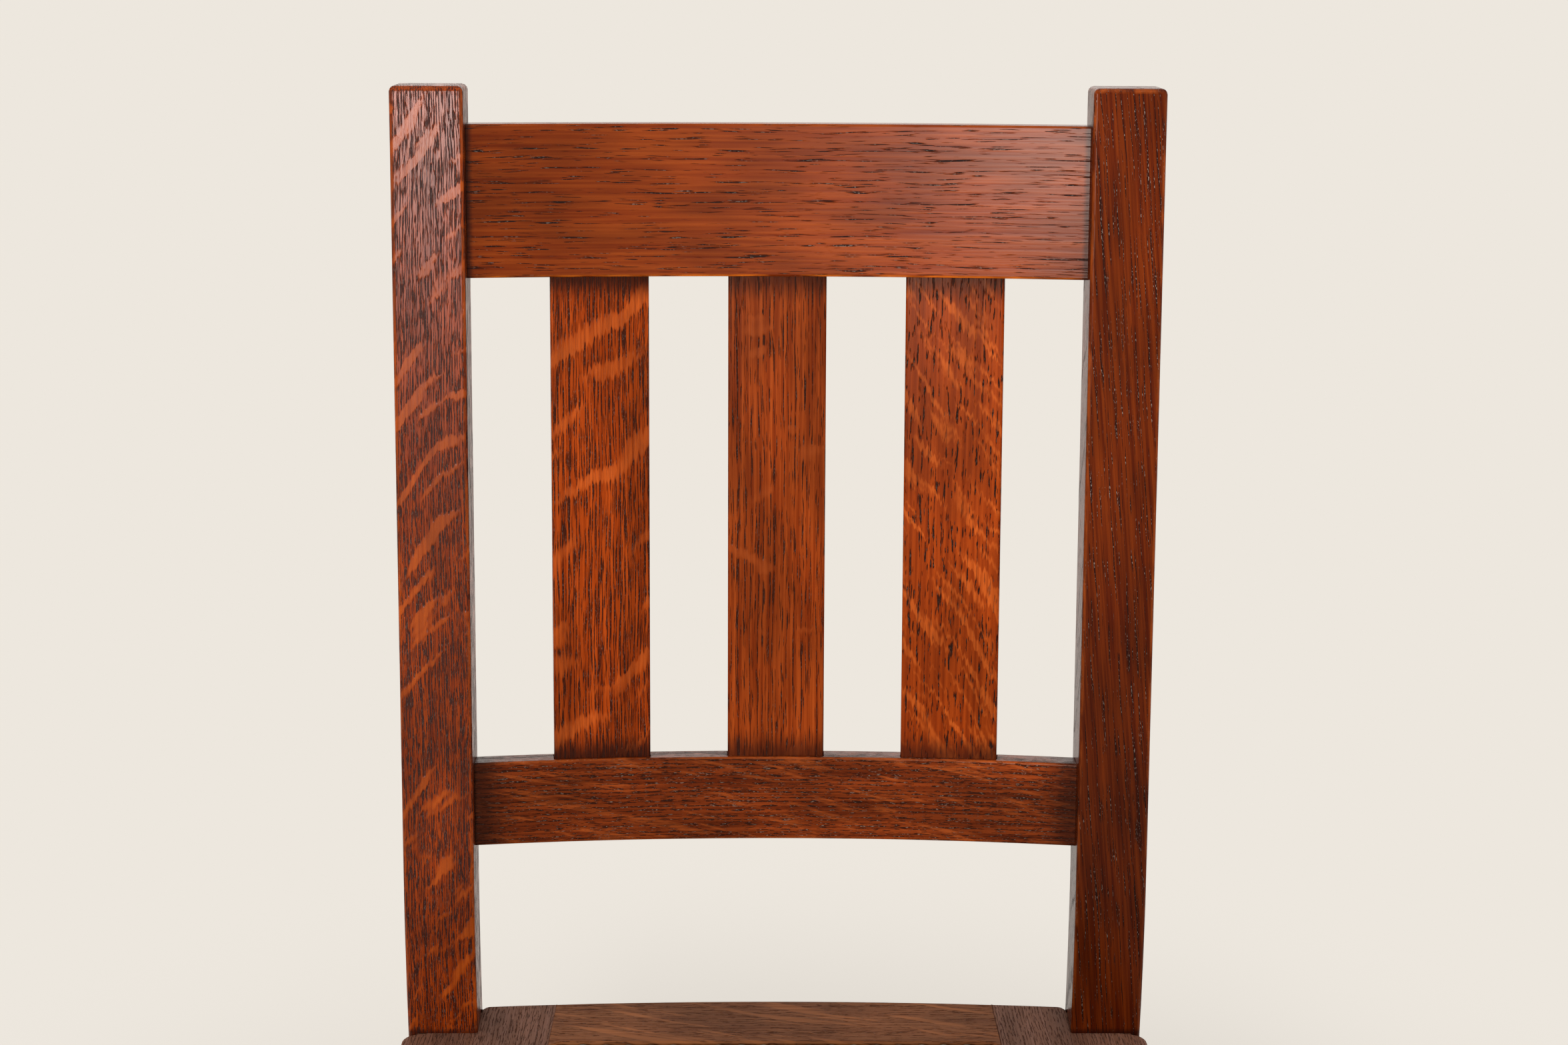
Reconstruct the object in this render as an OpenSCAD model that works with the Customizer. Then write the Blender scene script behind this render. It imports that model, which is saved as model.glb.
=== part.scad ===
// Armless sewing rocker in quarter-sawn oak, with a slatted back and an inset upholstered seat.
// Sizes are in millimetres and angles in degrees. Left and right are as seen from the front.
// The chair is worked out square to its seat, then tipped back by seat_slope as it rests on its runners.
// In that square frame the seat's top is z = 0, the rear posts' front faces are y = 0, and the front is -y.

/* [Back] */
// Outside width across the two rear posts
back_w = 400; // [360:5:460]
// Width of a rear post, seen from the front
post_w = 38; // [32:1:46]
// Depth of a rear post, front to back
post_d = 32; // [28:1:40]
// Lean of the back, measured from square to the seat
back_rake = 11.2; // [6:0.2:16]
// Radius of the bend in each rear post, just above the seat
bend_r = 510; // [400:10:700]
// Straight post between the end of the bend and the lower rail
rail_clear = 7; // [2:1:60]
// Height of the lower back rail
lower_rail_h = 46; // [36:1:70]
// Height of the crest rail
crest_h = 80; // [60:1:110]
// Length of slat that shows between the two rails
slat_show = 261; // [200:1:320]
// Height of the posts above the crest rail
horn_h = 20; // [8:1:40]
// Thickness of both back rails
rail_t = 15; // [13:1:18]
// How far the rails sit behind the posts' front faces, at their ends
rail_setback = 10; // [4:0.5:11]
// How far the rails bow backwards at the middle
rail_bow = 14; // [6:1:24]
// Width of a slat
slat_w = 52; // [40:1:60]
// Thickness of a slat
slat_t = 9; // [6:0.5:10]

/* [Seat] */
// Height of the seat's top above the floor, at the rear posts
seat_back_h = 362; // [340:1:400]
// Backward slope of the seat at rest
seat_slope = 4; // [2:0.5:6]
// Thickness of the seat frame
seat_t = 24; // [20:1:30]
// Seat depth from the rear posts' front faces to the front edge
seat_depth = 395; // [370:5:430]
// How far the seat reaches behind the rear posts' front faces, beside the posts
seat_reach = 29; // [24:1:34]
// How far the seat's rear edge bows backwards at the middle
seat_rear_bow = 6; // [2:1:12]
// Outward flare of each side of the seat, in degrees
seat_flare = 3; // [2:0.5:4]
// How far the seat stands out past each rear post
seat_proud = 2.5; // [1:0.5:6]
// Width of the two side boards
side_board_w = 80; // [74:1:90]
// Width of the front board
front_board_w = 70; // [60:1:85]
// Wood between the rear posts' front faces and the inset, front to back
inset_gap = 9; // [5:1:15]

/* [Upholstery] */
// Width of the cleats that carry the seat panel
cleat_w = 14; // [10:1:18]
// Thickness of the seat panel
panel_t = 6; // [4:0.5:8]
// How far the panel lies below the seat's top
panel_drop = 3; // [2:0.5:5]
// Crown of the pad above the panel
pad_crown = 20; // [12:1:28]
// Thickness of the gimp braid round the pad
gimp_t = 1.2; // [0.8:0.1:2]
// Spacing of the upholstery nails
nail_pitch = 12.5; // [12:0.5:20]
// Diameter of a nail's head
nail_head_d = 10; // [7:0.5:10.5]
// Height of a nail's head
nail_head_h = 3; // [2:0.2:4]

/* [Legs and aprons] */
// Width of a front leg, seen from the front
leg_w = 38; // [34:1:44]
// Depth of a front leg, front to back
leg_d = 38; // [34:1:44]
// How far the front legs stand behind the seat's front edge
leg_inset = 14; // [8:1:24]
// How far the seat overhangs the front legs at the sides
leg_overhang = 8; // [4:1:12]
// Height of the aprons under the seat
apron_h = 57; // [50:1:70]
// Thickness of the aprons
apron_t = 20; // [16:1:21]
// How far the aprons sit in from the legs' faces
apron_setback = 5; // [3:0.5:6]
// Length of an apron tenon
apron_tenon_l = 16; // [12:1:17]
// Thickness of an apron tenon
apron_tenon_t = 10; // [8:0.5:11]

/* [Stretchers] */
// Height of a stretcher
stretcher_h = 34; // [28:1:40]
// Thickness of a stretcher
stretcher_t = 16; // [12:1:18]
// Depth of the front stretcher's top edge below the seat's top
front_stretcher_down = 150; // [120:1:160]
// Depth of the rear stretcher's top edge below the seat's top
rear_stretcher_down = 168; // [120:1:172]
// Depth of the side stretchers' top edges below the seat's top
side_stretcher_down = 214; // [208:1:235]

/* [Runners] */
// Radius of a runner's underside
runner_r = 980; // [850:10:1200]
// Radius of a runner's top edge
runner_top_r = 1310; // [1300:10:1700]
// Height of a runner where it touches the floor
runner_h = 40; // [36:1:50]
// Width of a runner
runner_w = 34; // [28:1:38]
// How far each runner runs on in front of its front leg's middle, to the start of its rounded tip
runner_front = 67; // [45:1:90]
// How far each runner runs on behind its rear leg's middle, to the start of its rounded tip
runner_rear = 245; // [200:5:280]
// Distance of the touching point in front of the rear posts' front faces, at the balance of the empty chair
touch_ahead = 126; // [100:1:200]
// Length of the small flat that wear has left under each runner
tread_flat = 30; // [10:1:60]

/* [Joinery] */
// Length of the back rails' tenons
rail_tenon_l = 20; // [12:1:26]
// Shoulder above and below the back rails' tenons
rail_shoulder = 8; // [5:1:12]
// Thickness of the back rails' tenons
rail_tenon_t = 9; // [7:0.5:11]
// Depth to which the slats are let into the rails
slat_tongue = 12; // [8:1:16]
// Length of the stretchers' tenons
stretcher_tenon_l = 15; // [10:1:17]
// Thickness of the stretchers' tenons
stretcher_tenon_t = 8; // [6:0.5:9]
// Shoulder above and below an apron or stretcher tenon
tenon_shoulder = 5; // [3:0.5:7]
// Diameter of the round tenons under the legs
foot_tenon_d = 18; // [14:1:20]
// Length of the round tenons under the legs
foot_tenon_l = 22; // [16:1:24]
// Diameter of the pins through the runners
pin_d = 6; // [5:0.5:7]
// Diameter of the dowels in the seat frame
dowel_d = 9; // [7:0.5:10]
// Length of the dowels in the seat frame
dowel_l = 60; // [40:1:70]
// Size of a corner block along each apron
block_w = 65; // [55:1:75]
// Thickness of a corner block
block_h = 24; // [18:1:30]
// Diameter of the wood screws
screw_d = 4; // [3:0.5:5]
// Diameter of the screws' heads
screw_head_d = 8; // [7:0.5:10]
// Height of the screws' heads
screw_head_h = 2.5; // [2:0.5:3]
// Length of the screws from the corner blocks into the legs
block_screw_l = 50; // [45:1:51]
// Length of the screws from the corner blocks into the seat
seat_screw_l = 38; // [30:1:40]
// Play round a tenon or pin in its hole
fit = 0.2; // [0.1:0.05:0.4]

/* [Hidden] */

// Finishes: fumed oak in the tones of its different boards, then cloth and metal
oak_crest = "#8f4423";
oak_slat = "#934a24";
oak_dark = "#5c2c18";
oak_mid = "#6e3a22";
pad_cloth = "#2b3230";
gimp_cloth = "#56584c";
nail_metal = "#7d7a68";
steel = "#8c8c88";

// Smoothness of the long curves and of the small round parts
$fn = 48;
long_fn = 720;
bend_steps = 24;
runner_steps = 64;
tip_steps = 16;
corner_steps = 6;

// How far a cutting shape runs past the face it cuts
over = post_w / 4;
// Width of the round solid that cuts the legs' feet to the runners
foot_cut_w = leg_w * 3;

// Places across the rear posts
post_out = back_w / 2;
post_in = post_out - post_w;
bend_rise = bend_r * sin(back_rake);
bend_back = bend_r * (1 - cos(back_rake));

// Heights in the leaning frame of the back, from the end of the bend
crest_z = rail_clear + lower_rail_h + slat_show;
post_top = crest_z + crest_h + horn_h;

// Plan of the bowed rails: their front face is an arc about a point in front of the chair
bow_r = (post_in * post_in + rail_bow * rail_bow) / (2 * rail_bow);
bow_y = rail_setback + rail_bow - bow_r;
slat_gap = (2 * post_in - 3 * slat_w) / 4;
slat_turn = asin((slat_w + slat_gap) / (bow_r + rail_t / 2));

// Plan of the seat: x of its outer edge and of the side boards' inner edge at a given y
function edge_x(y) = post_out + seat_proud - y * tan(seat_flare);
function joint_x(y) = edge_x(y) - side_board_w / cos(seat_flare);
front_y = -seat_depth;
seat_corner_r = 14;
post_corner_r = 8;
rear_corner_r = 5;
inset_corner_r = nail_head_d;
inset_least_r = inset_corner_r / 4;
// How far the inset's rounded corners reach along its sides, at the rear and at the front
rear_corner_reach = inset_corner_r / tan((90 + seat_flare) / 2) * cos(seat_flare);
front_corner_reach = inset_corner_r / tan((90 - seat_flare) / 2) * cos(seat_flare);
rear_arc_r = (post_in * post_in + seat_rear_bow * seat_rear_bow) / (2 * seat_rear_bow);
rear_arc_steps = 16;
inset_back = -inset_gap;
inset_front = front_y + front_board_w;
panel_z = -panel_drop - panel_t;
// How far the nails stand in from the inset's edge, as a share of their heads
nail_edge_share = 0.7;
nail_inset = nail_head_d * nail_edge_share;
nail_shank_d = nail_head_d / 7;

// Places of the front legs, aprons and stretchers
leg_front = front_y + leg_inset;
leg_back = leg_front + leg_d;
leg_out = edge_x(leg_front) - leg_overhang;
leg_in = leg_out - leg_w;
leg_x = leg_out - leg_w / 2;
leg_y = leg_front + leg_d / 2;
post_x = post_out - post_w / 2;
post_y = post_d / 2;
apron_low = -seat_t - apron_h;
front_apron_in = leg_front + apron_setback + apron_t;
rear_apron_in = post_d - apron_setback - apron_t;
apron_rear_x = post_out - apron_setback - apron_t;
apron_front_x = leg_out - apron_setback - apron_t;
function apron_x(y) = apron_rear_x + (apron_front_x - apron_rear_x) * y / leg_back;

// The chair at rest: where a point (y, z) of the square frame lies over the floor
function rest_y(y, z) = y * cos(seat_slope) + z * sin(seat_slope);
function rest_z(y, z) = seat_back_h - y * sin(seat_slope) + z * cos(seat_slope);

// Centres of a runner's two arcs, above its touching point
under_z = sqrt(runner_r * runner_r - tread_flat * tread_flat / 4);
top_z = runner_h + runner_top_r;

// Length of a leg's centre line from the seat's top down to the runner's top edge
function fall(qy, qz) = let(s = qy * sin(seat_slope) + qz * cos(seat_slope))
    s + sqrt(s * s + runner_top_r * runner_top_r - qy * qy - qz * qz);
function foot_depth(y) = fall(rest_y(y, 0) + touch_ahead, rest_z(y, 0) - top_z);
post_foot = foot_depth(post_y);
leg_foot = foot_depth(leg_y);
post_foot_y = rest_y(post_y, -post_foot);
leg_foot_y = rest_y(leg_y, -leg_foot);
toe = atan((leg_x - post_x) / (post_foot_y - leg_foot_y));
touch_x = post_x + (post_foot_y + touch_ahead) * tan(toe);

// A runner's tip is a circle that meets both of its arcs smoothly
rise = top_z - under_z;
function tip_r(a) = let(c = cos(a) * rise)
    (runner_r * runner_r + 2 * runner_r * c + rise * rise - runner_top_r * runner_top_r)
    / (2 * (runner_top_r + runner_r + c));
function under_at(a, r = runner_r) = [r * sin(a), under_z - r * cos(a)];
function tip_at(a) = under_at(a, runner_r - tip_r(a));
front_tip_a = -asin(((-touch_ahead - leg_foot_y) / cos(toe) + runner_front) / runner_r);
rear_tip_a = asin(((post_foot_y + touch_ahead) / cos(toe) + runner_rear) / runner_r);
flat_a = asin(tread_flat / 2 / runner_r);
front_end = (tip_at(front_tip_a)[0] - tip_r(front_tip_a)) * cos(toe) - runner_w / 2 * sin(toe);
rear_end = (tip_at(rear_tip_a)[0] + tip_r(rear_tip_a)) * cos(toe) + runner_w / 2 * sin(toe);

// The origin is on the floor, midway between the runners' front and rear ends
middle_y = (front_end + rear_end) / 2 - touch_ahead;

// Turns a list of corners into an outline whose corners have the given radii
function unit(v) = v / norm(v);
function corner(p, q, s, r) = let(
        a = unit(p - q),
        b = unit(s - q),
        half = acos(max(-1, min(1, a * b))) / 2,
        centre = q + unit(a + b) * r / sin(half),
        start = q + a * r / tan(half) - centre,
        turn = (a[0] * b[1] - a[1] * b[0] > 0 ? -1 : 1) * (180 - 2 * half)
    ) [for (i = [0:corner_steps]) let(t = turn * i / corner_steps)
        centre + [start[0] * cos(t) - start[1] * sin(t), start[0] * sin(t) + start[1] * cos(t)]];
function eased(pts, radii) = let(n = len(pts)) [for (i = [0:n - 1])
    each radii[i] > 0 ? corner(pts[(i + n - 1) % n], pts[i], pts[(i + 1) % n], radii[i]) : [pts[i]]];

// Corners of the inset, drawn in by a distance, and their radius
function inset_pts(d) = let(
        side = d / cos(seat_flare),
        y0 = inset_front + d,
        y1 = inset_back - d
    ) [[-joint_x(y0) + side, y0], [joint_x(y0) - side, y0], [joint_x(y1) - side, y1], [-joint_x(y1) + side, y1]];
function inset_shape(d) = let(r = max(inset_corner_r - d, inset_least_r)) eased(inset_pts(d), [r, r, r, r]);

// Point at a given y on the line through two others
function foot_of(p, q, y) = p + (q - p) * (y - p[1]) / (q[1] - p[1]);

// Moves a piece from the square frame to its place at rest
module at_rest() {
    translate([0, -middle_y, seat_back_h]) rotate([-seat_slope, 0, 0]) children();
}

// Moves a piece to the straight upper part of the back
module in_back() {
    translate([0, bend_back, bend_rise]) rotate([-back_rake, 0, 0]) children();
}

// Moves a piece to a runner's own frame, at its touching point; side is -1 on the left and 1 on the right
module in_runner(side) {
    translate([side * touch_x, -touch_ahead - middle_y, 0]) rotate([0, 0, side * toe]) children();
}

// A bar from one corner to the opposite one
module block(from, to) {
    translate(from) cube(to - from);
}

// Solid with an outline in the side view, centred across the chair
module side_extrude(w) {
    rotate([90, 0, 90]) linear_extrude(w, center = true) children();
}

// Bowed board in the frame of the back, between two heights, with a thickness and a half length
module bowed(z0, z1, inner_r, outer_r, half) {
    reach = asin(half / inner_r);
    intersection() {
        translate([0, bow_y, z0]) rotate([0, 0, 90 - 2 * reach])
            rotate_extrude(angle = 4 * reach, $fn = long_fn)
                translate([inner_r, 0]) square([outer_r - inner_r, z1 - z0]);
        block([-half, bow_y, z0 - over], [half, post_d + rail_bow + rail_t, z1 + over]);
    }
}

// Tenoned rail: the board between the posts, and its tenons with some play all round
module rail_tenons(z0, h, play) {
    inset = (rail_t - rail_tenon_t) / 2 - play;
    bowed(z0 + rail_shoulder - play, z0 + h - rail_shoulder + play,
        bow_r + inset, bow_r + rail_t - inset, post_in + rail_tenon_l + play);
}

module back_rail(z0, h) {
    difference() {
        union() {
            bowed(z0, z0 + h, bow_r, bow_r + rail_t, post_in);
            rail_tenons(z0, h, 0);
        }
        for (i = [-1:1]) slat(i, fit);
    }
}

// Slat number i, from -1 on the left to 1 on the right, in the frame of the back
module slat(i, play) {
    w = slat_w / 2 + play;
    t = slat_t / 2 + play;
    z0 = rail_clear + lower_rail_h - slat_tongue - play;
    z1 = crest_z + slat_tongue + play;
    translate([0, bow_y, 0]) rotate([0, 0, -i * slat_turn])
        block([-w, bow_r + rail_t / 2 - t, z0], [w, bow_r + rail_t / 2 + t, z1]);
}

// Side view of a rear post: its leg, its bend and its straight upper part
function bend_point(r, t) = [bend_r - r * cos(t), r * sin(t)];
post_up = [sin(back_rake), cos(back_rake)] * post_top;
post_outline = concat(
    [[0, -post_foot - over]],
    [for (i = [0:bend_steps]) bend_point(bend_r, back_rake * i / bend_steps)],
    [bend_point(bend_r, back_rake) + post_up, bend_point(bend_r - post_d, back_rake) + post_up],
    [for (i = [bend_steps:-1:0]) bend_point(bend_r - post_d, back_rake * i / bend_steps)],
    [[post_d, -post_foot - over]]);

module post_body(side) {
    translate([side * post_x, 0, 0]) side_extrude(post_w) polygon(post_outline);
}

// Round tenon under a leg, with its pin hole left out, in the square frame
module foot_tenon(x, y, depth, play) {
    translate([x, y, -depth - foot_tenon_l - play])
        cylinder(h = foot_tenon_l + over, d = foot_tenon_d + 2 * play);
}

// Pin through a runner and a leg's tenon, in the runner's frame
module runner_pin(y, depth, play) {
    at = [0, (rest_y(y, -depth - foot_tenon_l / 2) + touch_ahead) / cos(toe),
        rest_z(y, -depth - foot_tenon_l / 2)];
    translate(at) rotate([0, 90, 0])
        cylinder(h = runner_w + 2 * (play > 0 ? over : 0), d = pin_d + 2 * play, center = true, $fn = 24);
}

module leg_pins(side, play) {
    in_runner(side) {
        runner_pin(post_y, post_foot, play);
        runner_pin(leg_y, leg_foot, play);
    }
}

// Cuts a leg to the runner's top edge, and leaves its round tenon and pin hole
module footed(side, x, y, depth) {
    difference() {
        union() {
            intersection() {
                children();
                in_runner(side) side_extrude(foot_cut_w)
                    polygon(concat(top_edge, [[-runner_r, top_z], [runner_r, top_z]]));
            }
            at_rest() foot_tenon(side * x, y, depth, 0);
        }
        leg_pins(side, fit);
    }
}

// Tenons of an apron or stretcher that runs across the chair
module cross_tenons(half, len, y, t, z0, z1, play) {
    block([-half - len - play, y - t / 2 - play, z0 + tenon_shoulder - play],
        [half + len + play, y + t / 2 + play, z1 - tenon_shoulder + play]);
}

module cross_bar(half, len, y0, y1, t, z0, z1) {
    union() {
        block([-half, y0, z0], [half, y1, z1]);
        cross_tenons(half, len, (y0 + y1) / 2, t, z0, z1, 0);
    }
}

// Bar between a front leg and a rear post; x0 and x1 are its middle at the post and at the leg
module side_bar(side, x0, x1, t, z0, z1) {
    scale([side, 1, 1]) translate([0, 0, z0]) linear_extrude(z1 - z0)
        polygon([[x0 - t / 2, 0], [x0 + t / 2, 0], [x1 + t / 2, leg_back], [x1 - t / 2, leg_back]]);
}

module side_tenons(side, x0, x1, len, t, z0, z1, play) {
    xr = side * x0;
    xf = side * x1;
    low = z0 + tenon_shoulder - play;
    high = z1 - tenon_shoulder + play;
    block([xr - t / 2 - play, -fit, low], [xr + t / 2 + play, len + play, high]);
    block([xf - t / 2 - play, leg_back - len - play, low], [xf + t / 2 + play, leg_back + fit, high]);
}

// Places of the aprons and stretchers: each module makes the whole piece or only its tenons
module front_apron_tenons(play) {
    cross_tenons(leg_in, apron_tenon_l, front_apron_in - apron_t / 2, apron_tenon_t, apron_low, -seat_t, play);
}

module rear_apron_tenons(play) {
    cross_tenons(post_in, apron_tenon_l, rear_apron_in + apron_t / 2, apron_tenon_t, apron_low, -seat_t, play);
}

module side_apron_tenons(side, play) {
    side_tenons(side, apron_rear_x + apron_t / 2, apron_front_x + apron_t / 2, apron_tenon_l,
        apron_tenon_t, apron_low, -seat_t, play);
}

module front_stretcher_tenons(play) {
    cross_tenons(leg_in, stretcher_tenon_l, leg_y, stretcher_tenon_t,
        -front_stretcher_down - stretcher_h, -front_stretcher_down, play);
}

module rear_stretcher_tenons(play) {
    cross_tenons(post_in, stretcher_tenon_l, post_y, stretcher_tenon_t,
        -rear_stretcher_down - stretcher_h, -rear_stretcher_down, play);
}

module side_stretcher_tenons(side, play) {
    side_tenons(side, post_x, leg_x, stretcher_tenon_l, stretcher_tenon_t,
        -side_stretcher_down - stretcher_h, -side_stretcher_down, play);
}

// Corner block outlines on the right, with their notch round the leg's or post's inner corner
front_block = [
    [leg_in - block_w, front_apron_in], [leg_in, front_apron_in], [leg_in, leg_back],
    [apron_x(leg_back), leg_back], [apron_x(leg_back + block_w), leg_back + block_w]
];
rear_block = [
    [post_in - block_w, rear_apron_in], [post_in, rear_apron_in], [post_in, 0],
    [apron_x(0), 0], [apron_x(-block_w), -block_w]
];
// Where the seat screw stands, as shares of the block's two far corners and its notch
seat_screw_shares = [0.1, 0.4, 0.5];

module wood_screw(length, play) {
    cylinder(h = length + play, d = screw_d + 2 * play, $fn = 20);
    mirror([0, 0, 1]) cylinder(h = screw_head_h, d1 = screw_head_d, d2 = screw_head_d / 2, $fn = 24);
}

// Screw from the middle of a block's long face, towards the notch
module block_screw(pts, side, play) {
    middle = (pts[0] + pts[4]) / 2;
    aim = pts[2] - middle;
    scale([side, 1, 1]) translate([middle[0], middle[1], -seat_t - block_h / 2])
        rotate([0, 0, atan2(aim[1], aim[0])]) rotate([0, 90, 0]) wood_screw(block_screw_l, play);
}

module seat_screw(pts, side, play) {
    at = pts[0] * seat_screw_shares[0] + pts[2] * seat_screw_shares[1] + pts[4] * seat_screw_shares[2];
    scale([side, 1, 1]) translate([at[0], at[1], -seat_t - block_h]) wood_screw(seat_screw_l, play);
}

module corner_block(pts, side) {
    color(oak_dark) at_rest() difference() {
        scale([side, 1, 1]) translate([0, 0, -seat_t - block_h]) linear_extrude(block_h) polygon(pts);
        block_screw(pts, side, fit);
        seat_screw(pts, side, fit);
    }
}

// Dowels between the side boards and the front and rear boards, as distances from the board's outer edge
rear_dowel_in = [seat_reach / 3, seat_reach];
front_dowel_in = [front_board_w / 4, front_board_w * 3 / 4];
dowel_down_share = 0.57;
dowel_z = -seat_t * dowel_down_share;

module seat_dowel(side, y, play) {
    translate([side * joint_x(y), y, dowel_z]) rotate([0, 90, 0])
        cylinder(h = dowel_l + 2 * play, d = dowel_d + 2 * play, center = true, $fn = 24);
}

module seat_dowels(side, play) {
    for (d = rear_dowel_in) seat_dowel(side, seat_reach - d, play);
    for (d = front_dowel_in) seat_dowel(side, front_y + d, play);
}

// Outline of the whole seat, with its notches for the posts and its bowed rear edge
function rear_edge(x) = seat_reach + seat_rear_bow - rear_arc_r + sqrt(rear_arc_r * rear_arc_r - x * x);

module seat_plan() {
    ox = edge_x(-fit);
    nx = post_in - fit;
    fx = edge_x(front_y);
    steps = rear_arc_steps;
    arc = [for (i = [1:steps - 1]) let(x = nx * (1 - 2 * i / steps)) [x, rear_edge(x)]];
    pts = concat([[-fx, front_y], [fx, front_y], [ox, -fit], [nx, -fit], [nx, rear_edge(nx)]],
        arc, [[-nx, rear_edge(nx)], [-nx, -fit], [-ox, -fit]]);
    radii = concat([seat_corner_r, seat_corner_r, post_corner_r, 0, rear_corner_r],
        [for (p = arc) 0], [rear_corner_r, 0, post_corner_r]);
    polygon(eased(pts, radii));
}

// The part of the seat plan that one board covers; the front and rear boards hold the inset's rounded corners
module board_area(name) {
    far = back_w;
    y0 = inset_front + front_corner_reach;
    y1 = inset_back - rear_corner_reach;
    low = front_y - far;
    if (name == "left") polygon([[-joint_x(far), far], [-joint_x(low), low], [-2 * far, low], [-2 * far, far]]);
    if (name == "right") polygon([[joint_x(far), far], [joint_x(low), low], [2 * far, low], [2 * far, far]]);
    if (name == "rear") polygon([[-joint_x(far), far], [joint_x(far), far], [joint_x(y1), y1], [-joint_x(y1), y1]]);
    if (name == "front") polygon([[-joint_x(low), low], [joint_x(low), low], [joint_x(y0), y0], [-joint_x(y0), y0]]);
}

module seat_board(name) {
    color(oak_mid) at_rest() difference() {
        translate([0, 0, -seat_t]) linear_extrude(seat_t) intersection() {
            seat_plan();
            difference() {
                board_area(name);
                polygon(inset_shape(0));
            }
        }
        for (side = [-1, 1]) {
            seat_dowels(side, fit);
            seat_screw(front_block, side, fit);
            seat_screw(rear_block, side, fit);
        }
    }
}

// Cleats glued inside the frame, flush with its underside: the side ones run the inset's whole length
module cleat_area(name) {
    inner = inset_pts(cleat_w);
    outer = inset_pts(-cleat_w);
    if (name == "left") polygon([outer[0], foot_of(inner[0], inner[3], outer[0][1]),
        foot_of(inner[0], inner[3], outer[3][1]), outer[3]]);
    if (name == "right") polygon([outer[1], foot_of(inner[1], inner[2], outer[1][1]),
        foot_of(inner[1], inner[2], outer[2][1]), outer[2]]);
    if (name == "front") polygon([foot_of(inner[0], inner[3], outer[0][1]), inner[0], inner[1],
        foot_of(inner[1], inner[2], outer[1][1])]);
    if (name == "rear") polygon([foot_of(inner[0], inner[3], outer[3][1]), inner[3], inner[2],
        foot_of(inner[1], inner[2], outer[2][1])]);
}

module seat_cleat(name) {
    color(oak_dark) at_rest() translate([0, 0, -seat_t]) linear_extrude(seat_t + panel_z) intersection() {
        cleat_area(name);
        polygon(inset_shape(0));
    }
}

// Nails: one at each corner of the inset, and evenly spaced rows between
function nail_row(p, q) = let(n = round(norm(q - p) / nail_pitch)) [for (i = [0:n - 1]) p + (q - p) * i / n];
nail_corners = inset_pts(nail_inset);
nail_places = [for (i = [0:3]) each nail_row(nail_corners[i], nail_corners[(i + 1) % 4])];
gimp_z = -panel_drop + gimp_t;
gimp_w = nail_inset + nail_head_d / 2;

module nail_holes() {
    for (p = nail_places) translate(p) square(nail_shank_d, center = true);
}

// Domed head with a square shank that goes through the braid into the panel
module nail() {
    dome_r = (nail_head_d * nail_head_d / 4 + nail_head_h * nail_head_h) / (2 * nail_head_h);
    rotate_extrude($fn = 14) intersection() {
        translate([0, nail_head_h - dome_r]) circle(dome_r, $fn = 60);
        square([nail_head_d / 2, nail_head_h]);
    }
    translate([0, 0, -panel_t / 2 - gimp_t / 2])
        cube([nail_shank_d, nail_shank_d, panel_t + gimp_t], center = true);
}

// Points of a stuffed pad on the inset: rings that bulge over a drawn-in foot and close over the crown
pad_side_steps = 9;
pad_ring_steps = 12;
pad_bulge = gimp_t;
pad_foot_share = 0.2;
crown_power = 2.6;
edge_power = 0.55;
function spread(a, b, n) = [for (i = [1:n - 1]) a + (b - a) * i / n];
function pad_outline(d) = let(s = inset_shape(d), m = corner_steps + 1) [for (k = [0:3])
    each concat([for (i = [0:corner_steps]) s[k * m + i]],
        spread(s[k * m + corner_steps], s[(k * m + m) % (4 * m)], pad_side_steps))];
pad_centre = [0, (inset_front + inset_back) / 2];
function crown_share(t) = pow(max(0, 1 - pow(min(1, abs(t)), crown_power)), edge_power);
function pad_height(q) = let(d = gimp_w, half_y = (inset_back - inset_front) / 2 - d)
    pad_crown * (pad_foot_share + (1 - pad_foot_share)
    * crown_share(q[0] / (joint_x(q[1]) - d / cos(seat_flare))) * crown_share((q[1] - pad_centre[1]) / half_y));

module pad_form() {
    foot = pad_outline(gimp_w + pad_bulge);
    rim = pad_outline(gimp_w + fit);
    n = len(foot);
    rings = concat([for (p = foot) [p[0], p[1], 0]],
        [for (k = [0:pad_ring_steps - 1]) let(f = 1 - pow(k / pad_ring_steps, crown_power / 2)) each
            [for (p = rim) let(q = pad_centre + (p - pad_centre) * f) [q[0], q[1], pad_height(q)]]]);
    layers = pad_ring_steps + 1;
    foot_centre = len(rings);
    crown_centre = foot_centre + 1;
    walls = [for (k = [0:layers - 2]) for (i = [0:n - 1]) let(j = (i + 1) % n)
        each [[k * n + i, (k + 1) * n + j, k * n + j], [k * n + i, (k + 1) * n + i, (k + 1) * n + j]]];
    floor_faces = [for (i = [0:n - 1]) [foot_centre, i, (i + 1) % n]];
    crown_faces = [for (i = [0:n - 1]) [crown_centre, (layers - 1) * n + (i + 1) % n, (layers - 1) * n + i]];
    polyhedron(concat(rings, [[pad_centre[0], pad_centre[1], 0], [pad_centre[0], pad_centre[1], pad_crown]]),
        concat(walls, floor_faces, crown_faces));
}

// Side view of a runner's top edge, from its rear tip to its front tip
function top_angle(a) = let(c = tip_at(a)) atan2(c[0], top_z - c[1]);
top_edge = let(a0 = top_angle(rear_tip_a), a1 = top_angle(front_tip_a)) [for (i = [0:runner_steps])
    let(a = a0 + (a1 - a0) * i / runner_steps) [runner_top_r * sin(a), top_z - runner_top_r * cos(a)]];

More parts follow.
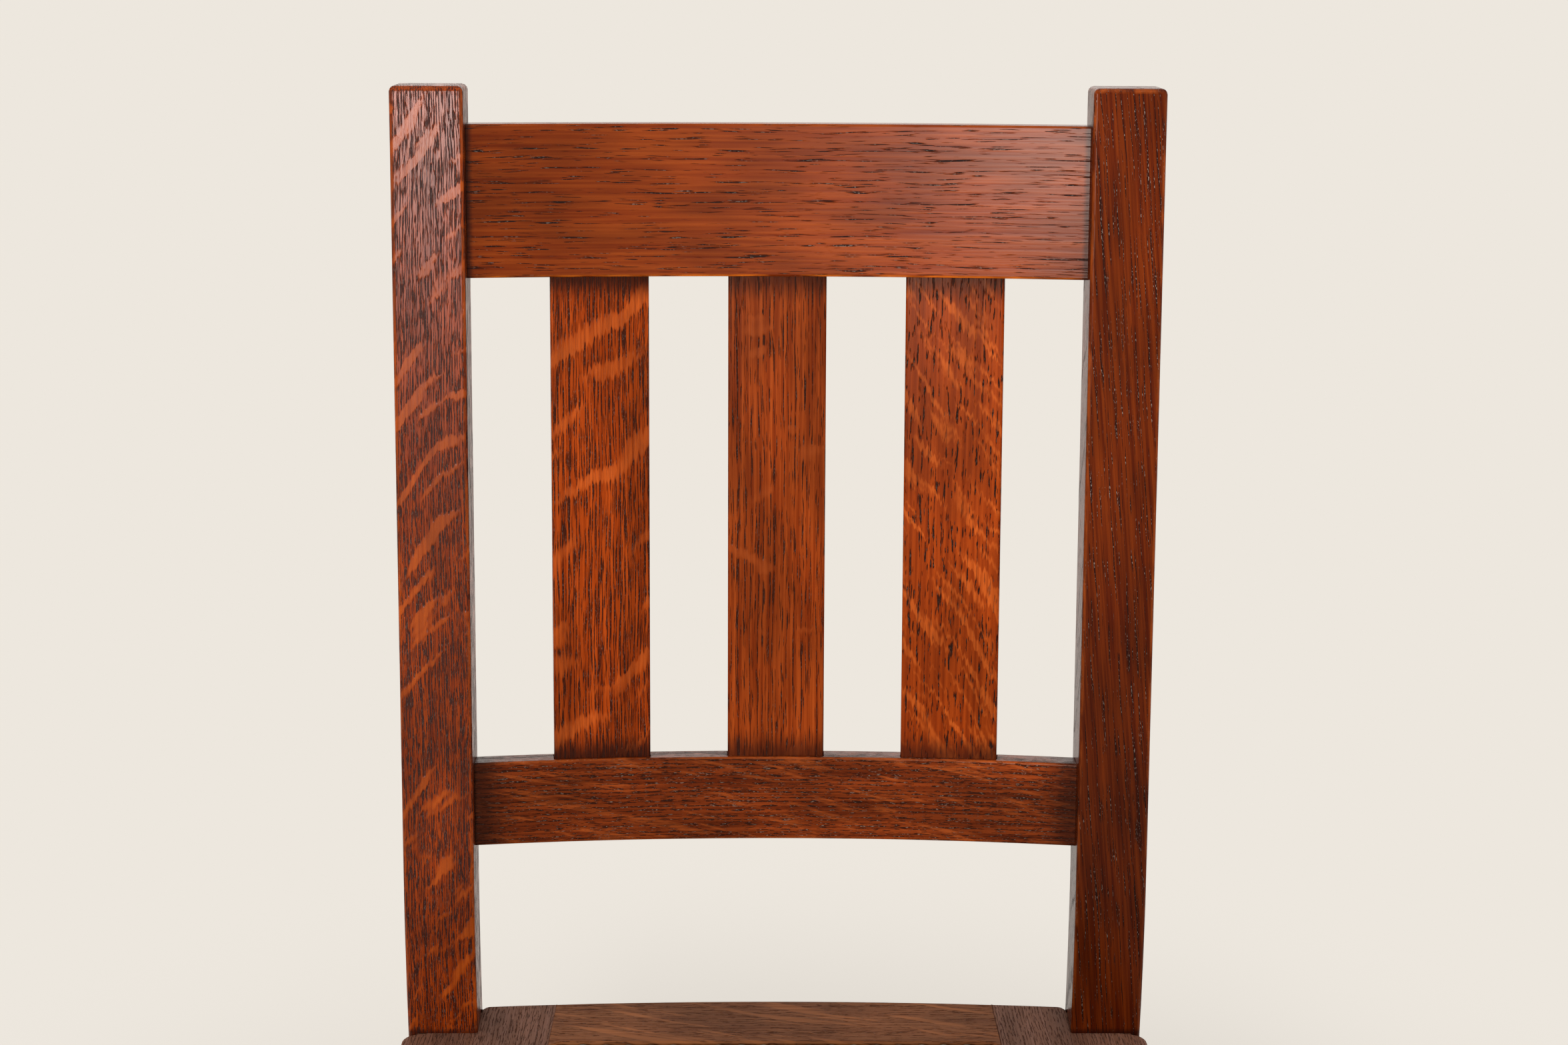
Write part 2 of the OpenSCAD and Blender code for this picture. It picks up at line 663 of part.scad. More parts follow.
// Points round a tip between its two arcs, and along the underside between two angles
function tip_arc(a, from, to) = let(c = tip_at(a), r = tip_r(a)) [for (i = [1:tip_steps - 1])
    let(t = from + (to - from) * i / tip_steps) c + r * [sin(t), -cos(t)]];
function under_arc(from, to) = [for (i = [0:runner_steps / 2]) under_at(from + (to - from) * 2 * i / runner_steps)];
runner_outline = concat(
    under_arc(front_tip_a, -flat_a), under_arc(flat_a, rear_tip_a),
    tip_arc(rear_tip_a, rear_tip_a, 180 + top_angle(rear_tip_a)),
    top_edge,
    tip_arc(front_tip_a, top_angle(front_tip_a) - 180, front_tip_a));

// Back
module rear_post(side) {
    color(oak_mid) footed(side, post_x, post_y, post_foot) at_rest() difference() {
        post_body(side);
        in_back() {
            rail_tenons(rail_clear, lower_rail_h, fit);
            rail_tenons(crest_z, crest_h, fit);
        }
        rear_apron_tenons(fit);
        side_apron_tenons(side, fit);
        rear_stretcher_tenons(fit);
        side_stretcher_tenons(side, fit);
        block_screw(rear_block, side, fit);
    }
}

module crest_rail() {
    color(oak_crest) at_rest() in_back() back_rail(crest_z, crest_h);
}

module lower_back_rail() {
    color(oak_dark) at_rest() in_back() back_rail(rail_clear, lower_rail_h);
}

module back_slat(i) {
    color(oak_slat) at_rest() in_back() slat(i, 0);
}

// Seat
module seat_frame_dowels() {
    color(oak_mid) at_rest() for (side = [-1, 1]) seat_dowels(side, 0);
}

module seat_panel() {
    color(oak_mid) at_rest() translate([0, 0, panel_z]) linear_extrude(panel_t) difference() {
        polygon(inset_shape(fit));
        nail_holes();
    }
}

module seat_pad() {
    color(pad_cloth) at_rest() translate([0, 0, -panel_drop]) pad_form();
}

module seat_gimp() {
    color(gimp_cloth) at_rest() translate([0, 0, -panel_drop]) linear_extrude(gimp_t) difference() {
        polygon(inset_shape(fit));
        polygon(inset_shape(gimp_w));
        nail_holes();
    }
}

module seat_nails() {
    color(nail_metal) at_rest() for (p = nail_places) translate([p[0], p[1], gimp_z]) nail();
}

// Base
module front_leg(side) {
    x0 = side > 0 ? leg_in : -leg_out;
    color(oak_mid) footed(side, leg_x, leg_y, leg_foot) at_rest() difference() {
        block([x0, leg_front, -leg_foot - over], [x0 + leg_w, leg_back, -seat_t]);
        front_apron_tenons(fit);
        side_apron_tenons(side, fit);
        front_stretcher_tenons(fit);
        side_stretcher_tenons(side, fit);
        block_screw(front_block, side, fit);
    }
}

module front_apron() {
    color(oak_mid) at_rest() cross_bar(leg_in, apron_tenon_l, front_apron_in - apron_t, front_apron_in,
        apron_tenon_t, apron_low, -seat_t);
}

module rear_apron() {
    color(oak_mid) at_rest() cross_bar(post_in, apron_tenon_l, rear_apron_in, rear_apron_in + apron_t,
        apron_tenon_t, apron_low, -seat_t);
}

module side_apron(side) {
    color(oak_mid) at_rest() union() {
        side_bar(side, apron_rear_x + apron_t / 2, apron_front_x + apron_t / 2, apron_t, apron_low, -seat_t);
        side_apron_tenons(side, 0);
    }
}

module front_stretcher() {
    color(oak_mid) at_rest() cross_bar(leg_in, stretcher_tenon_l, leg_y - stretcher_t / 2,
        leg_y + stretcher_t / 2, stretcher_tenon_t, -front_stretcher_down - stretcher_h, -front_stretcher_down);
}

module rear_stretcher() {
    color(oak_mid) at_rest() cross_bar(post_in, stretcher_tenon_l, post_y - stretcher_t / 2,
        post_y + stretcher_t / 2, stretcher_tenon_t, -rear_stretcher_down - stretcher_h, -rear_stretcher_down);
}

module side_stretcher(side) {
    color(oak_mid) at_rest() union() {
        side_bar(side, post_x, leg_x, stretcher_t, -side_stretcher_down - stretcher_h, -side_stretcher_down);
        side_stretcher_tenons(side, 0);
    }
}

module corner_block_screws() {
    color(steel) at_rest() for (side = [-1, 1]) {
        block_screw(front_block, side, 0);
        block_screw(rear_block, side, 0);
    }
}

module seat_screws() {
    color(steel) at_rest() for (side = [-1, 1]) {
        seat_screw(front_block, side, 0);
        seat_screw(rear_block, side, 0);
    }
}

module runner(side) {
    color(oak_dark) difference() {
        in_runner(side) side_extrude(runner_w) polygon(runner_outline);
        at_rest() foot_tenon(side * post_x, post_y, post_foot, fit);
        at_rest() foot_tenon(side * leg_x, leg_y, leg_foot, fit);
        leg_pins(side, fit);
    }
}

module runner_pins() {
    color(oak_crest) for (side = [-1, 1]) leg_pins(side, 0);
}

rear_post(-1);  // rear_post_left
rear_post(1);  // rear_post_right
crest_rail();
lower_back_rail();
back_slat(-1);  // back_slat_left
back_slat(0);  // back_slat_centre
back_slat(1);  // back_slat_right
seat_board("left");  // seat_board_left
seat_board("right");  // seat_board_right
seat_board("front");  // seat_board_front
seat_board("rear");  // seat_board_rear
seat_frame_dowels();
seat_cleat("left");  // seat_cleat_left
seat_cleat("right");  // seat_cleat_right
seat_cleat("front");  // seat_cleat_front
seat_cleat("rear");  // seat_cleat_rear
seat_panel();
seat_pad();
seat_gimp();
seat_nails();
front_leg(-1);  // front_leg_left
front_leg(1);  // front_leg_right
front_apron();
rear_apron();
side_apron(-1);  // side_apron_left
side_apron(1);  // side_apron_right
corner_block(front_block, -1);  // corner_block_front_left
corner_block(front_block, 1);  // corner_block_front_right
corner_block(rear_block, -1);  // corner_block_rear_left
corner_block(rear_block, 1);  // corner_block_rear_right
corner_block_screws();
seat_screws();
front_stretcher();
rear_stretcher();
side_stretcher(-1);  // side_stretcher_left
side_stretcher(1);  // side_stretcher_right
runner(-1);  // runner_left
runner(1);  // runner_right
runner_pins();
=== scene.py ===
"""Armless sewing rocker in fumed quarter-sawn oak: its looks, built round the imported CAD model.

Everything is in metres in the chair's rest frame: the origin is on the floor, +Z is up and the front is -Y.
Sizes in the dataclasses are millimetres, as in the part's source.
"""

import logging
import math
import random
from dataclasses import dataclass, field
from enum import Enum
from typing import Iterable

import bmesh
import bpy
from mathutils import Matrix, Vector, noise
from mathutils.bvhtree import BVHTree


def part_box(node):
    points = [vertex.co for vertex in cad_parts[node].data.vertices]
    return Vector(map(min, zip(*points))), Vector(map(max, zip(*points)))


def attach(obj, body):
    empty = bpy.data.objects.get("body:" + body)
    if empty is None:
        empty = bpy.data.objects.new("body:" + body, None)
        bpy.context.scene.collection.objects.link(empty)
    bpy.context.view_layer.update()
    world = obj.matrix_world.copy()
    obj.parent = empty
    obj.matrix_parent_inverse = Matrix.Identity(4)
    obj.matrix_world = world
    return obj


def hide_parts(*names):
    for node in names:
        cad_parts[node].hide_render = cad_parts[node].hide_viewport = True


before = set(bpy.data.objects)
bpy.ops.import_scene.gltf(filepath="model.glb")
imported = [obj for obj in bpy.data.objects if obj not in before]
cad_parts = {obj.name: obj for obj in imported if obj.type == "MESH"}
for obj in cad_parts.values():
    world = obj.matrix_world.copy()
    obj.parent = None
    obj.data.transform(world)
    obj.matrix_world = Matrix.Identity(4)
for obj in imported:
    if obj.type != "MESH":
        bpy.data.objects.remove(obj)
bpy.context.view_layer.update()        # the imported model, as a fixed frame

LOG = logging.getLogger("rocker")
MM = 0.001
BODY = "root"
# Corners of a CAD mesh that lie closer than this are one corner
WELD = 0.01 * MM
# Edges that turn by more degrees than this stay sharp
SHARP_ANGLE = 35.0
SEED = 1908

# The seat's own frame: its top is z = 0 and the rear posts' front faces are y = 0
SEAT_SLOPE = math.radians(4)
SEAT_HEIGHT = 362 * MM
SEAT_BACK_Y = 106.83 * MM
# The back's own frame starts where the bend in the rear posts ends
BACK_RAKE = math.radians(11.2)
BEND_RADIUS = 510 * MM
POST_WIDTH = 38 * MM
BACK_WIDTH = 400 * MM
SIDES = {"left": -1, "right": 1}

SEAT_FRAME = Matrix.Translation((0, SEAT_BACK_Y, SEAT_HEIGHT)) @ Matrix.Rotation(-SEAT_SLOPE, 4, "X")
BACK_FRAME = SEAT_FRAME @ Matrix.Translation(
    (0, BEND_RADIUS * (1 - math.cos(BACK_RAKE)), BEND_RADIUS * math.sin(BACK_RAKE))
) @ Matrix.Rotation(-BACK_RAKE, 4, "X")


def linear(code: str) -> tuple[float, float, float, float]:
    """Turns an sRGB hex colour into linear light.

    Args:
        code: Six hex digits after a hash.

    Returns:
        Red, green, blue and full opacity.
    """
    values = [int(code[i:i + 2], 16) / 255 for i in (1, 3, 5)]
    red, green, blue = (v / 12.92 if v <= 0.04045 else ((v + 0.055) / 1.055) ** 2.4 for v in values)
    return red, green, blue, 1.0


def add_node(
    tree: bpy.types.NodeTree, kind: str, inputs: dict[str | int, object] | None = None, out: int | str = 0,
    **settings: object
) -> bpy.types.NodeSocket | None:
    """Adds a shader node with its settings and links.

    Args:
        tree: Node tree that takes it.
        kind: Blender's name of the node.
        inputs: Values of its inputs by name or number; a socket is linked, anything else is set.
        out: The output that the caller goes on with.
        **settings: The node's own properties.

    Returns:
        That output, or None where the node has no outputs.
    """
    node = tree.nodes.new(kind)
    for name, value in settings.items():
        setattr(node, name, value)
    for name, value in (inputs or {}).items():
        if isinstance(value, bpy.types.NodeSocket):
            tree.links.new(value, node.inputs[name])
        else:
            node.inputs[name].default_value = value
    return node.outputs[out] if node.outputs else None


def new_material(name: str) -> tuple[bpy.types.Material, bpy.types.NodeTree]:
    """Makes an empty node material.

    Args:
        name: What the real material is.

    Returns:
        The material and its node tree.
    """
    material = bpy.data.materials.new(name)
    material.use_nodes = True
    material.node_tree.nodes.clear()
    return material, material.node_tree


def millimetres(tree: bpy.types.NodeTree) -> bpy.types.NodeSocket:
    """Gives the place on a piece, from its Object coordinates.

    Args:
        tree: Node tree of its material.

    Returns:
        The place in millimetres.
    """
    place = add_node(tree, "ShaderNodeTexCoord", out="Object")
    return add_node(tree, "ShaderNodeVectorMath", {0: place, "Scale": 1 / MM}, operation="SCALE")


def new_object(name: str, mesh: bpy.types.Mesh) -> bpy.types.Object:
    """Links a mesh into the scene as an object at the origin.

    Args:
        name: Name of the object.
        mesh: Its mesh.

    Returns:
        The object.
    """
    piece = bpy.data.objects.new(name, mesh)
    bpy.context.scene.collection.objects.link(piece)
    return piece


def bmesh_object(name: str, bm: bmesh.types.BMesh, smooth_below: float = SHARP_ANGLE) -> bpy.types.Object:
    """Turns a bmesh into an object with smooth faces and sharp arrises.

    Args:
        name: Name of the piece.
        bm: The shape, which is freed.
        smooth_below: Angle in degrees above which an edge stays sharp.

    Returns:
        The object.
    """
    mesh = bpy.data.meshes.new(name)
    bm.to_mesh(mesh)
    bm.free()
    mesh.shade_smooth()
    mesh.set_sharp_from_angle(angle=math.radians(smooth_below))
    return new_object(name, mesh)


def hand_over(piece: bpy.types.Object, material: bpy.types.Material, slot: str, *nodes: str) -> None:
    """Dresses a finished piece and gives it to the frame.

    Args:
        piece: The piece.
        material: Its material.
        slot: The record's material slot; not used.
        *nodes: CAD nodes that it stands for.
    """
    piece.data.materials.clear()
    piece.data.materials.append(material)
    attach(piece, BODY)
    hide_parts(*nodes)
    LOG.info("%s: %d faces, %s", piece.name, len(piece.data.polygons), material.name)


# ---------------------------------------------------------------- finishes


class Grain(Enum):
    """Where an oak finish finds the board's own coordinates."""

    BOARD = "board"
    ACROSS_CHAIR = "across chair"


@dataclass(frozen=True)
class OakFinish:
    """Quarter-sawn white oak, fumed dark and waxed to a satin gloss.

    The rings meet the face square on, so the open pores of each year run in straight dark lines, and the rays
    lie in the face as smooth bright ribbons that break the lines. Sizes are millimetres, angles degrees.
    """

    # Colours: ground, light streaks, pores, ribbons, rubbed arrises, old wax in the pores painted pale as glints, glaze
    # by the joints darkened as painted contact shade
    name: str
    dark: str = "#561a05"
    light: str = "#86330c"
    pore: str = "#1b0603"
    fleck: str = "#a2430f"
    worn: str = "#b4541c"
    wax_glint: str = "#a08c80"
    glaze_and_shade: str = "#260c07"
    # Year rings, and the rows of open pores that each of them starts with
    lean: float = 0.0
    ring_pitch: float = 2.0
    ring_turn: float = 8.0
    ring_shade: float = 0.35
    year_scale: float = 0.45
    year_spread: float = 1.6
    band: float = 0.55
    crowding: float = 0.16
    pore_length: float = 9.0
    pore_width: float = 0.55
    pore_depth: float = 0.26
    pore_share: float = 0.42
    pore_limit: float = 0.72
    pore_edge: float = 0.07
    pore_strength: float = 0.9
    # Ray ribbons: their share of the face, size, slope, arc, colour, softness and rhythm
    fleck_share: float = 0.35
    fleck_limit: float = 0.68
    fleck_thickness: float = 14.0
    fleck_reach: float = 50.0
    fleck_depth: float = 6.0
    fleck_rise: float = 35.0
    fleck_arc: float = 0.0
    fleck_strength: float = 0.9
    fleck_clear: float = 0.9
    fleck_edge: float = 0.05
    fleck_pitch: float = 20.0
    fleck_rhythm: float = 0.0
    teeth: float = 1.0
    # How far a whole share moves the limit that a blot must pass to be a pore or a ribbon
    share_reach: float = 0.3
    # How far the lines and the ribbons wander, and how the tone changes over the board; low_shade paints shade that
    # darkens the board towards one end
    wave: float = 1.4
    bend: float = 8.0
    streak: float = 1.0
    ripple: float = 0.25
    blotch: float = 0.22
    low_shade: float = 0.0
    low_reach: tuple[float, float] = (-220.0, 120.0)
    # Sizes along the grain, across the face and through the board
    comb_size: tuple[float, float, float] = (26.0, 1.3, 2.5)
    drift_size: tuple[float, float, float] = (120.0, 45.0, 45.0)
    cloud_size: tuple[float, float, float] = (70.0, 24.0, 24.0)
    streak_size: tuple[float, float, float] = (80.0, 1.7, 1.7)
    tatter_size: tuple[float, float, float] = (9.0, 1.2, 1.2)
    patch_size: tuple[float, float, float] = (24.0, 6.0, 6.0)
    crumb_size: tuple[float, float, float] = (1.6, 0.5, 0.5)
    # Half the board between its joints, or where the seat meets a post: the dark glaze and a painted contact shade lie
    # there
    half_span: float = 0.0
    foot: float = 0.0
    glaze_shade_reach: float = 9.0
    glaze_shade_depth: float = 0.75
    # Wax, painted pale in the pores as glints, and gloss
    wax_glint_share: float = 0.12
    roughness: float = 0.23
    pore_dullness: float = 0.25
    specular: float = 0.08
    shine: str = "#ffe1c8"
    grain: Grain = Grain.BOARD

    @staticmethod
    def blots(
        tree: bpy.types.NodeTree, at: bpy.types.NodeSocket, size: tuple[float, float, float], detail: float,
        turn: float = 0.0, out: str = "Fac"
    ) -> bpy.types.NodeSocket:
        """Draws soft blots of a real size in the board.

        Args:
            tree: Node tree of the material.
            at: Place in the board in millimetres.
            size: Size of a blot along the grain, across the face and through the board, in millimetres.
            detail: How many finer layers they have.
            turn: Angle in degrees between the first size and the grain.
            out: The noise's output that the caller goes on with.

        Returns:
            That output. It lies mostly between 0.3 and 0.7, so the shares set limits in that range.
        """
        inside = add_node(tree, "ShaderNodeMapping", {
            "Vector": at, "Scale": size, "Rotation": (0, 0, math.radians(turn))}, vector_type="TEXTURE")
        return add_node(tree, "ShaderNodeTexNoise", {"Vector": inside, "Scale": 1.0, "Detail": detail}, out)

    def rows(
        self, tree: bpy.types.NodeTree, swayed: bpy.types.NodeSocket
    ) -> tuple[bpy.types.NodeSocket, bpy.types.NodeSocket]:
        """Draws the year rings: each starts with a band of large open pores.

        Args:
            tree: Node tree of the material.
            swayed: Place in the board in millimetres, with the grain's slow wander.

        Returns:
            How deep a point lies in a band, and whether it lies in a pore.
        """
        turn = math.radians(self.ring_turn)
        ring = add_node(tree, "ShaderNodeVectorMath", {
            0: swayed, 1: (0, math.cos(turn) / self.ring_pitch, math.sin(turn) / self.ring_pitch)},
            "Value", operation="DOT_PRODUCT")
        year = add_node(tree, "ShaderNodeTexNoise", {
            "W": ring, "Scale": self.year_scale, "Detail": 1.0}, noise_dimensions="1D")
        uneven = add_node(tree, "ShaderNodeMath", {0: year, 1: self.year_spread, 2: ring}, operation="MULTIPLY_ADD")
        share = add_node(tree, "ShaderNodeMath", {0: uneven}, operation="FRACT")
        band = add_node(tree, "ShaderNodeMapRange", {
            "Value": share, "From Min": 0.04, "From Max": self.band, "To Min": 1.0, "To Max": 0.0},
            interpolation_type="SMOOTHSTEP")
        cells = self.blots(tree, swayed, (self.pore_length, self.pore_width, self.pore_width), 1.0)
        crowded = add_node(tree, "ShaderNodeMath", {0: band, 1: self.crowding, 2: cells}, operation="MULTIPLY_ADD")
        limit = self.pore_limit - self.share_reach * self.pore_share
        pore = add_node(tree, "ShaderNodeMapRange", {
            "Value": crowded, "From Min": limit, "From Max": limit + self.pore_edge}, interpolation_type="SMOOTHSTEP")
        return band, pore

    def ribbons(
        self, tree: bpy.types.NodeTree, place: bpy.types.NodeSocket, wander: bpy.types.NodeSocket,
        local: bpy.types.NodeSocket, streaks: bpy.types.NodeSocket
    ) -> tuple[bpy.types.NodeSocket, bpy.types.NodeSocket]:
        """Draws the rays: bright ribbons that cross the rows, curved, with an edge combed along the fibres.

        Args:
            tree: Node tree of the material.
            place: Place in the board in millimetres.
            wander: The grain's slow wander.
            local: Place from the board's middle, in metres.
            streaks: Fine streaks along the grain, from 0 to 1.

        Returns:
            Where a ribbon closes the pores, and how much of its colour shows.
        """
        # An arc bends a ribbon along the grain by the square of its distance from the board's middle line
        square = add_node(tree, "ShaderNodeVectorMath", {0: local, 1: local}, operation="MULTIPLY")
        arc = add_node(tree, "ShaderNodeVectorMath", {
            0: square, 1: (0, self.fleck_arc / MM ** 2, 0)}, "Value", operation="DOT_PRODUCT")
        bent = add_node(tree, "ShaderNodeVectorMath", {
            0: wander, 1: (4 * self.bend, 4 * self.wave, 0), 2: place}, operation="MULTIPLY_ADD")
        arched = add_node(tree, "ShaderNodeVectorMath", {0: arc, 1: (1, 0, 0), 2: bent}, operation="MULTIPLY_ADD")
        tooth = self.blots(tree, place, self.comb_size, 0)
        combed = add_node(tree, "ShaderNodeVectorMath", {
            0: tooth, 1: (4 * self.teeth, 0, 0), 2: arched}, operation="MULTIPLY_ADD")
        rays = self.blots(
            tree, combed, (self.fleck_thickness, self.fleck_reach, self.fleck_depth), 1.0, -self.fleck_rise)
        rise = math.radians(self.fleck_rise)
        turns = 2 * math.pi / self.fleck_pitch
        phase = add_node(tree, "ShaderNodeVectorMath", {
            0: combed, 1: (turns * math.cos(rise), -turns * math.sin(rise), 0)}, "Value", operation="DOT_PRODUCT")
        rhythm = add_node(tree, "ShaderNodeMath", {0: phase}, operation="SINE")
        paced = add_node(tree, "ShaderNodeMath", {0: rhythm, 1: self.fleck_rhythm, 2: rays}, operation="MULTIPLY_ADD")
        limit = self.fleck_limit - self.share_reach * self.fleck_share
        fleck = add_node(tree, "ShaderNodeMapRange", {
            "Value": paced, "From Min": limit, "From Max": limit + self.fleck_edge}, interpolation_type="SMOOTHSTEP")
        broad = add_node(tree, "ShaderNodeMapRange", {
            "Value": paced, "From Min": limit - 0.02, "From Max": limit + 0.06 + self.fleck_edge,
            "To Max": self.fleck_strength}, interpolation_type="SMOOTHSTEP")
        silk = add_node(tree, "ShaderNodeMapRange", {
            "Value": streaks, "From Min": 0.36, "From Max": 0.56, "To Min": 0.5, "To Max": 1.0})
        glow = add_node(tree, "ShaderNodeMath", {0: broad, 1: silk}, operation="MULTIPLY")
        return fleck, glow

    def glaze_shade_and_tone(
        self, tree: bpy.types.NodeTree, place: bpy.types.NodeSocket, local: bpy.types.NodeSocket
    ) -> tuple[bpy.types.NodeSocket | None, bpy.types.NodeSocket]:
        """Draws the dark glaze by the joints with the painted contact shade there, the board's random light and dark,
        and the painted shade towards one end.

        Args:
            tree: Node tree of the material.
            place: Place in the board in millimetres.
            local: Place from the board's middle, in metres.

        Returns:
            How much glaze and painted shade lies on a point, if the board has any, and how bright the board is there.
        """
        along = add_node(tree, "ShaderNodeVectorMath", {
            0: local, 1: (1 / MM, 0, 0)}, "Value", operation="DOT_PRODUCT")
        glaze_and_shade = None
        ragged = self.blots(tree, place, self.tatter_size, 2)
        # Dark glaze pooled at the board's ends, darkened further as painted contact shade where it meets the next part
        if self.half_span:
            out = add_node(tree, "ShaderNodeMath", {0: along}, operation="ABSOLUTE")
            end = add_node(tree, "ShaderNodeMath", {
                0: ragged, 1: 0.7 * self.glaze_shade_reach, 2: out}, operation="MULTIPLY_ADD")
            glaze_and_shade = add_node(tree, "ShaderNodeMapRange", {
                "Value": end, "From Min": self.half_span - 0.75 * self.glaze_shade_reach,
                "From Max": self.half_span + 0.25 * self.glaze_shade_reach, "To Max": self.glaze_shade_depth},
                interpolation_type="SMOOTHSTEP")
        # A dark ring where the post stands in the seat: painted contact shade with some grime
        if self.foot:
            off = add_node(tree, "ShaderNodeMath", {0: along, 1: self.foot}, operation="SUBTRACT")
            near = add_node(tree, "ShaderNodeMath", {0: off}, operation="ABSOLUTE")
            rough = add_node(tree, "ShaderNodeMath", {0: ragged, 1: 3.0, 2: near}, operation="MULTIPLY_ADD")
            glaze_and_shade = add_node(tree, "ShaderNodeMapRange", {
                "Value": rough, "From Min": 2.0, "From Max": 5.5, "To Min": self.glaze_shade_depth, "To Max": 0.0},
                interpolation_type="SMOOTHSTEP")
        clouds = self.blots(tree, place, self.cloud_size, 2)
        shade = add_node(tree, "ShaderNodeMapRange", {
            "Value": clouds, "From Min": 0.3, "From Max": 0.7, "To Min": 1 - self.blotch, "To Max": 1 + self.blotch},
            interpolation_type="SMOOTHSTEP")
        # Painted shade: the board gets darker towards one end
        if self.low_shade:
            low = add_node(tree, "ShaderNodeMapRange", {
                "Value": along, "From Min": self.low_reach[0], "From Max": self.low_reach[1],
                "To Min": 1 - self.low_shade, "To Max": 1.0}, interpolation_type="SMOOTHSTEP")
            shade = add_node(tree, "ShaderNodeMath", {0: shade, 1: low}, operation="MULTIPLY")
        return glaze_and_shade, shade

    def build(self) -> bpy.types.Material:
        """Makes the material.

        Returns:
            The material, which reads the piece's `board`, `local` and `wear` attributes.
        """
        material, tree = new_material(self.name)
        if self.grain is Grain.BOARD:
            board = add_node(tree, "ShaderNodeAttribute", out="Vector", attribute_name="board")
        else:
            board = add_node(tree, "ShaderNodeTexCoord", out="Object")
        local = add_node(tree, "ShaderNodeAttribute", out="Vector", attribute_name="local")
        place = add_node(tree, "ShaderNodeMapping", {
            "Vector": board, "Scale": (1 / MM,) * 3, "Rotation": (0, 0, math.radians(-self.lean))})
        # The grain wanders a little, so no line is ruled: blots stray by about a quarter either way, so
        # four times a size moves a line by that size
        drift = self.blots(tree, place, self.drift_size, 2, out="Color")
        wander = add_node(tree, "ShaderNodeVectorMath", {0: drift, 1: (0.5, 0.5, 0.5)}, operation="SUBTRACT")
        swayed = add_node(tree, "ShaderNodeVectorMath", {
            0: wander, 1: (0, 4 * self.wave, 0), 2: place}, operation="MULTIPLY_ADD")
        streaks = self.blots(tree, place, self.streak_size, 3)
        band, pore = self.rows(tree, swayed)
        fleck, glow = self.ribbons(tree, place, wander, local, streaks)
        kept = add_node(tree, "ShaderNodeMath", {0: fleck, 1: -self.fleck_clear, 2: 1.0}, operation="MULTIPLY_ADD")
        open_pore = add_node(tree, "ShaderNodeMath", {0: pore, 1: kept}, operation="MULTIPLY")

        # Shares of what lies over the dark ground, from the light streaks up to worn arrises and glaze; the wax crumbs
        # are painted glints, and the glaze holds painted contact shade
        half = 0.22 / max(self.streak, 0.1)
        light = add_node(tree, "ShaderNodeMapRange", {
            "Value": streaks, "From Min": 0.5 - half, "From Max": 0.5 + half}, interpolation_type="SMOOTHSTEP")
        early = add_node(tree, "ShaderNodeMath", {0: band, 1: self.ring_shade}, operation="MULTIPLY")
        stained = add_node(tree, "ShaderNodeMath", {0: open_pore, 1: self.pore_strength}, operation="MULTIPLY")
        # Crumbs of old wax in the open pores, painted pale to stand for glints of light in them
        crumbs = add_node(tree, "ShaderNodeMapRange", {
            "Value": self.blots(tree, place, self.crumb_size, 1), "From Min": 0.58, "From Max": 0.66,
            "To Max": self.wax_glint_share}, interpolation_type="SMOOTHSTEP")
        wax_dust_and_glints = add_node(tree, "ShaderNodeMath", {0: crumbs, 1: open_pore}, operation="MULTIPLY")
        patchy = add_node(tree, "ShaderNodeMapRange", {
            "Value": self.blots(tree, place, self.patch_size, 3), "From Min": 0.38, "From Max": 0.6},
            interpolation_type="SMOOTHSTEP")
        rubbed = add_node(tree, "ShaderNodeMath", {
            0: add_node(tree, "ShaderNodeAttribute", out="Fac", attribute_name="wear"), 1: patchy},
            operation="MULTIPLY")
        glaze_and_shade, shade = self.glaze_shade_and_tone(tree, place, local)
        layers = [(light, self.light), (early, self.dark), (glow, self.fleck), (stained, self.pore),
                  (wax_dust_and_glints, self.wax_glint), (rubbed, self.worn)]
        if glaze_and_shade is not None:
            layers.append((glaze_and_shade, self.glaze_and_shade))
        colour = linear(self.dark)
        for share, over in layers:
            colour = add_node(tree, "ShaderNodeMix", {
                "Factor": share, 6: colour, 7: linear(over)}, 2, data_type="RGBA")
        toned = add_node(tree, "ShaderNodeHueSaturation", {"Color": colour, "Value": shade})

        # Gloss: the wax lies even over field and ribbons, and the pores are dull and sunk
        gloss = add_node(tree, "ShaderNodeMath", {
            0: open_pore, 1: self.pore_dullness, 2: self.roughness}, operation="MULTIPLY_ADD")
        ripple = add_node(tree, "ShaderNodeMath", {0: streaks, 1: self.ripple}, operation="MULTIPLY")
        depth = add_node(tree, "ShaderNodeMath", {0: open_pore, 1: -1.0, 2: ripple}, operation="MULTIPLY_ADD")
        relief = add_node(tree, "ShaderNodeBump", {
            "Height": depth, "Strength": 0.8, "Distance": self.pore_depth * MM})
        surface = add_node(tree, "ShaderNodeBsdfPrincipled", {
            "Base Color": toned, "Roughness": gloss, "Normal": relief, "IOR": 1.5,
            "Specular IOR Level": self.specular, "Specular Tint": linear(self.shine)})
        add_node(tree, "ShaderNodeOutputMaterial", {"Surface": surface})
        return material


# Left post: close dark lines, slender ribbons that rise to the right and flatten towards the inner arris
LEFT_POST_OAK = OakFinish("fumed_oak_left_post", dark="#6a2304", light="#8a3508", fleck="#984210", ring_pitch=1.3,
                          pore_share=0.62, pore_length=8, pore_width=0.5, fleck_share=0.3, fleck_thickness=7,
                          fleck_reach=30, fleck_rise=48, fleck_arc=0.015, fleck_pitch=14, fleck_rhythm=0.08,
                          fleck_edge=0.07, bend=4, teeth=1.2, worn="#a84a12", low_shade=0.04, foot=-260,
                          specular=0.135, shine="#fffaf6")
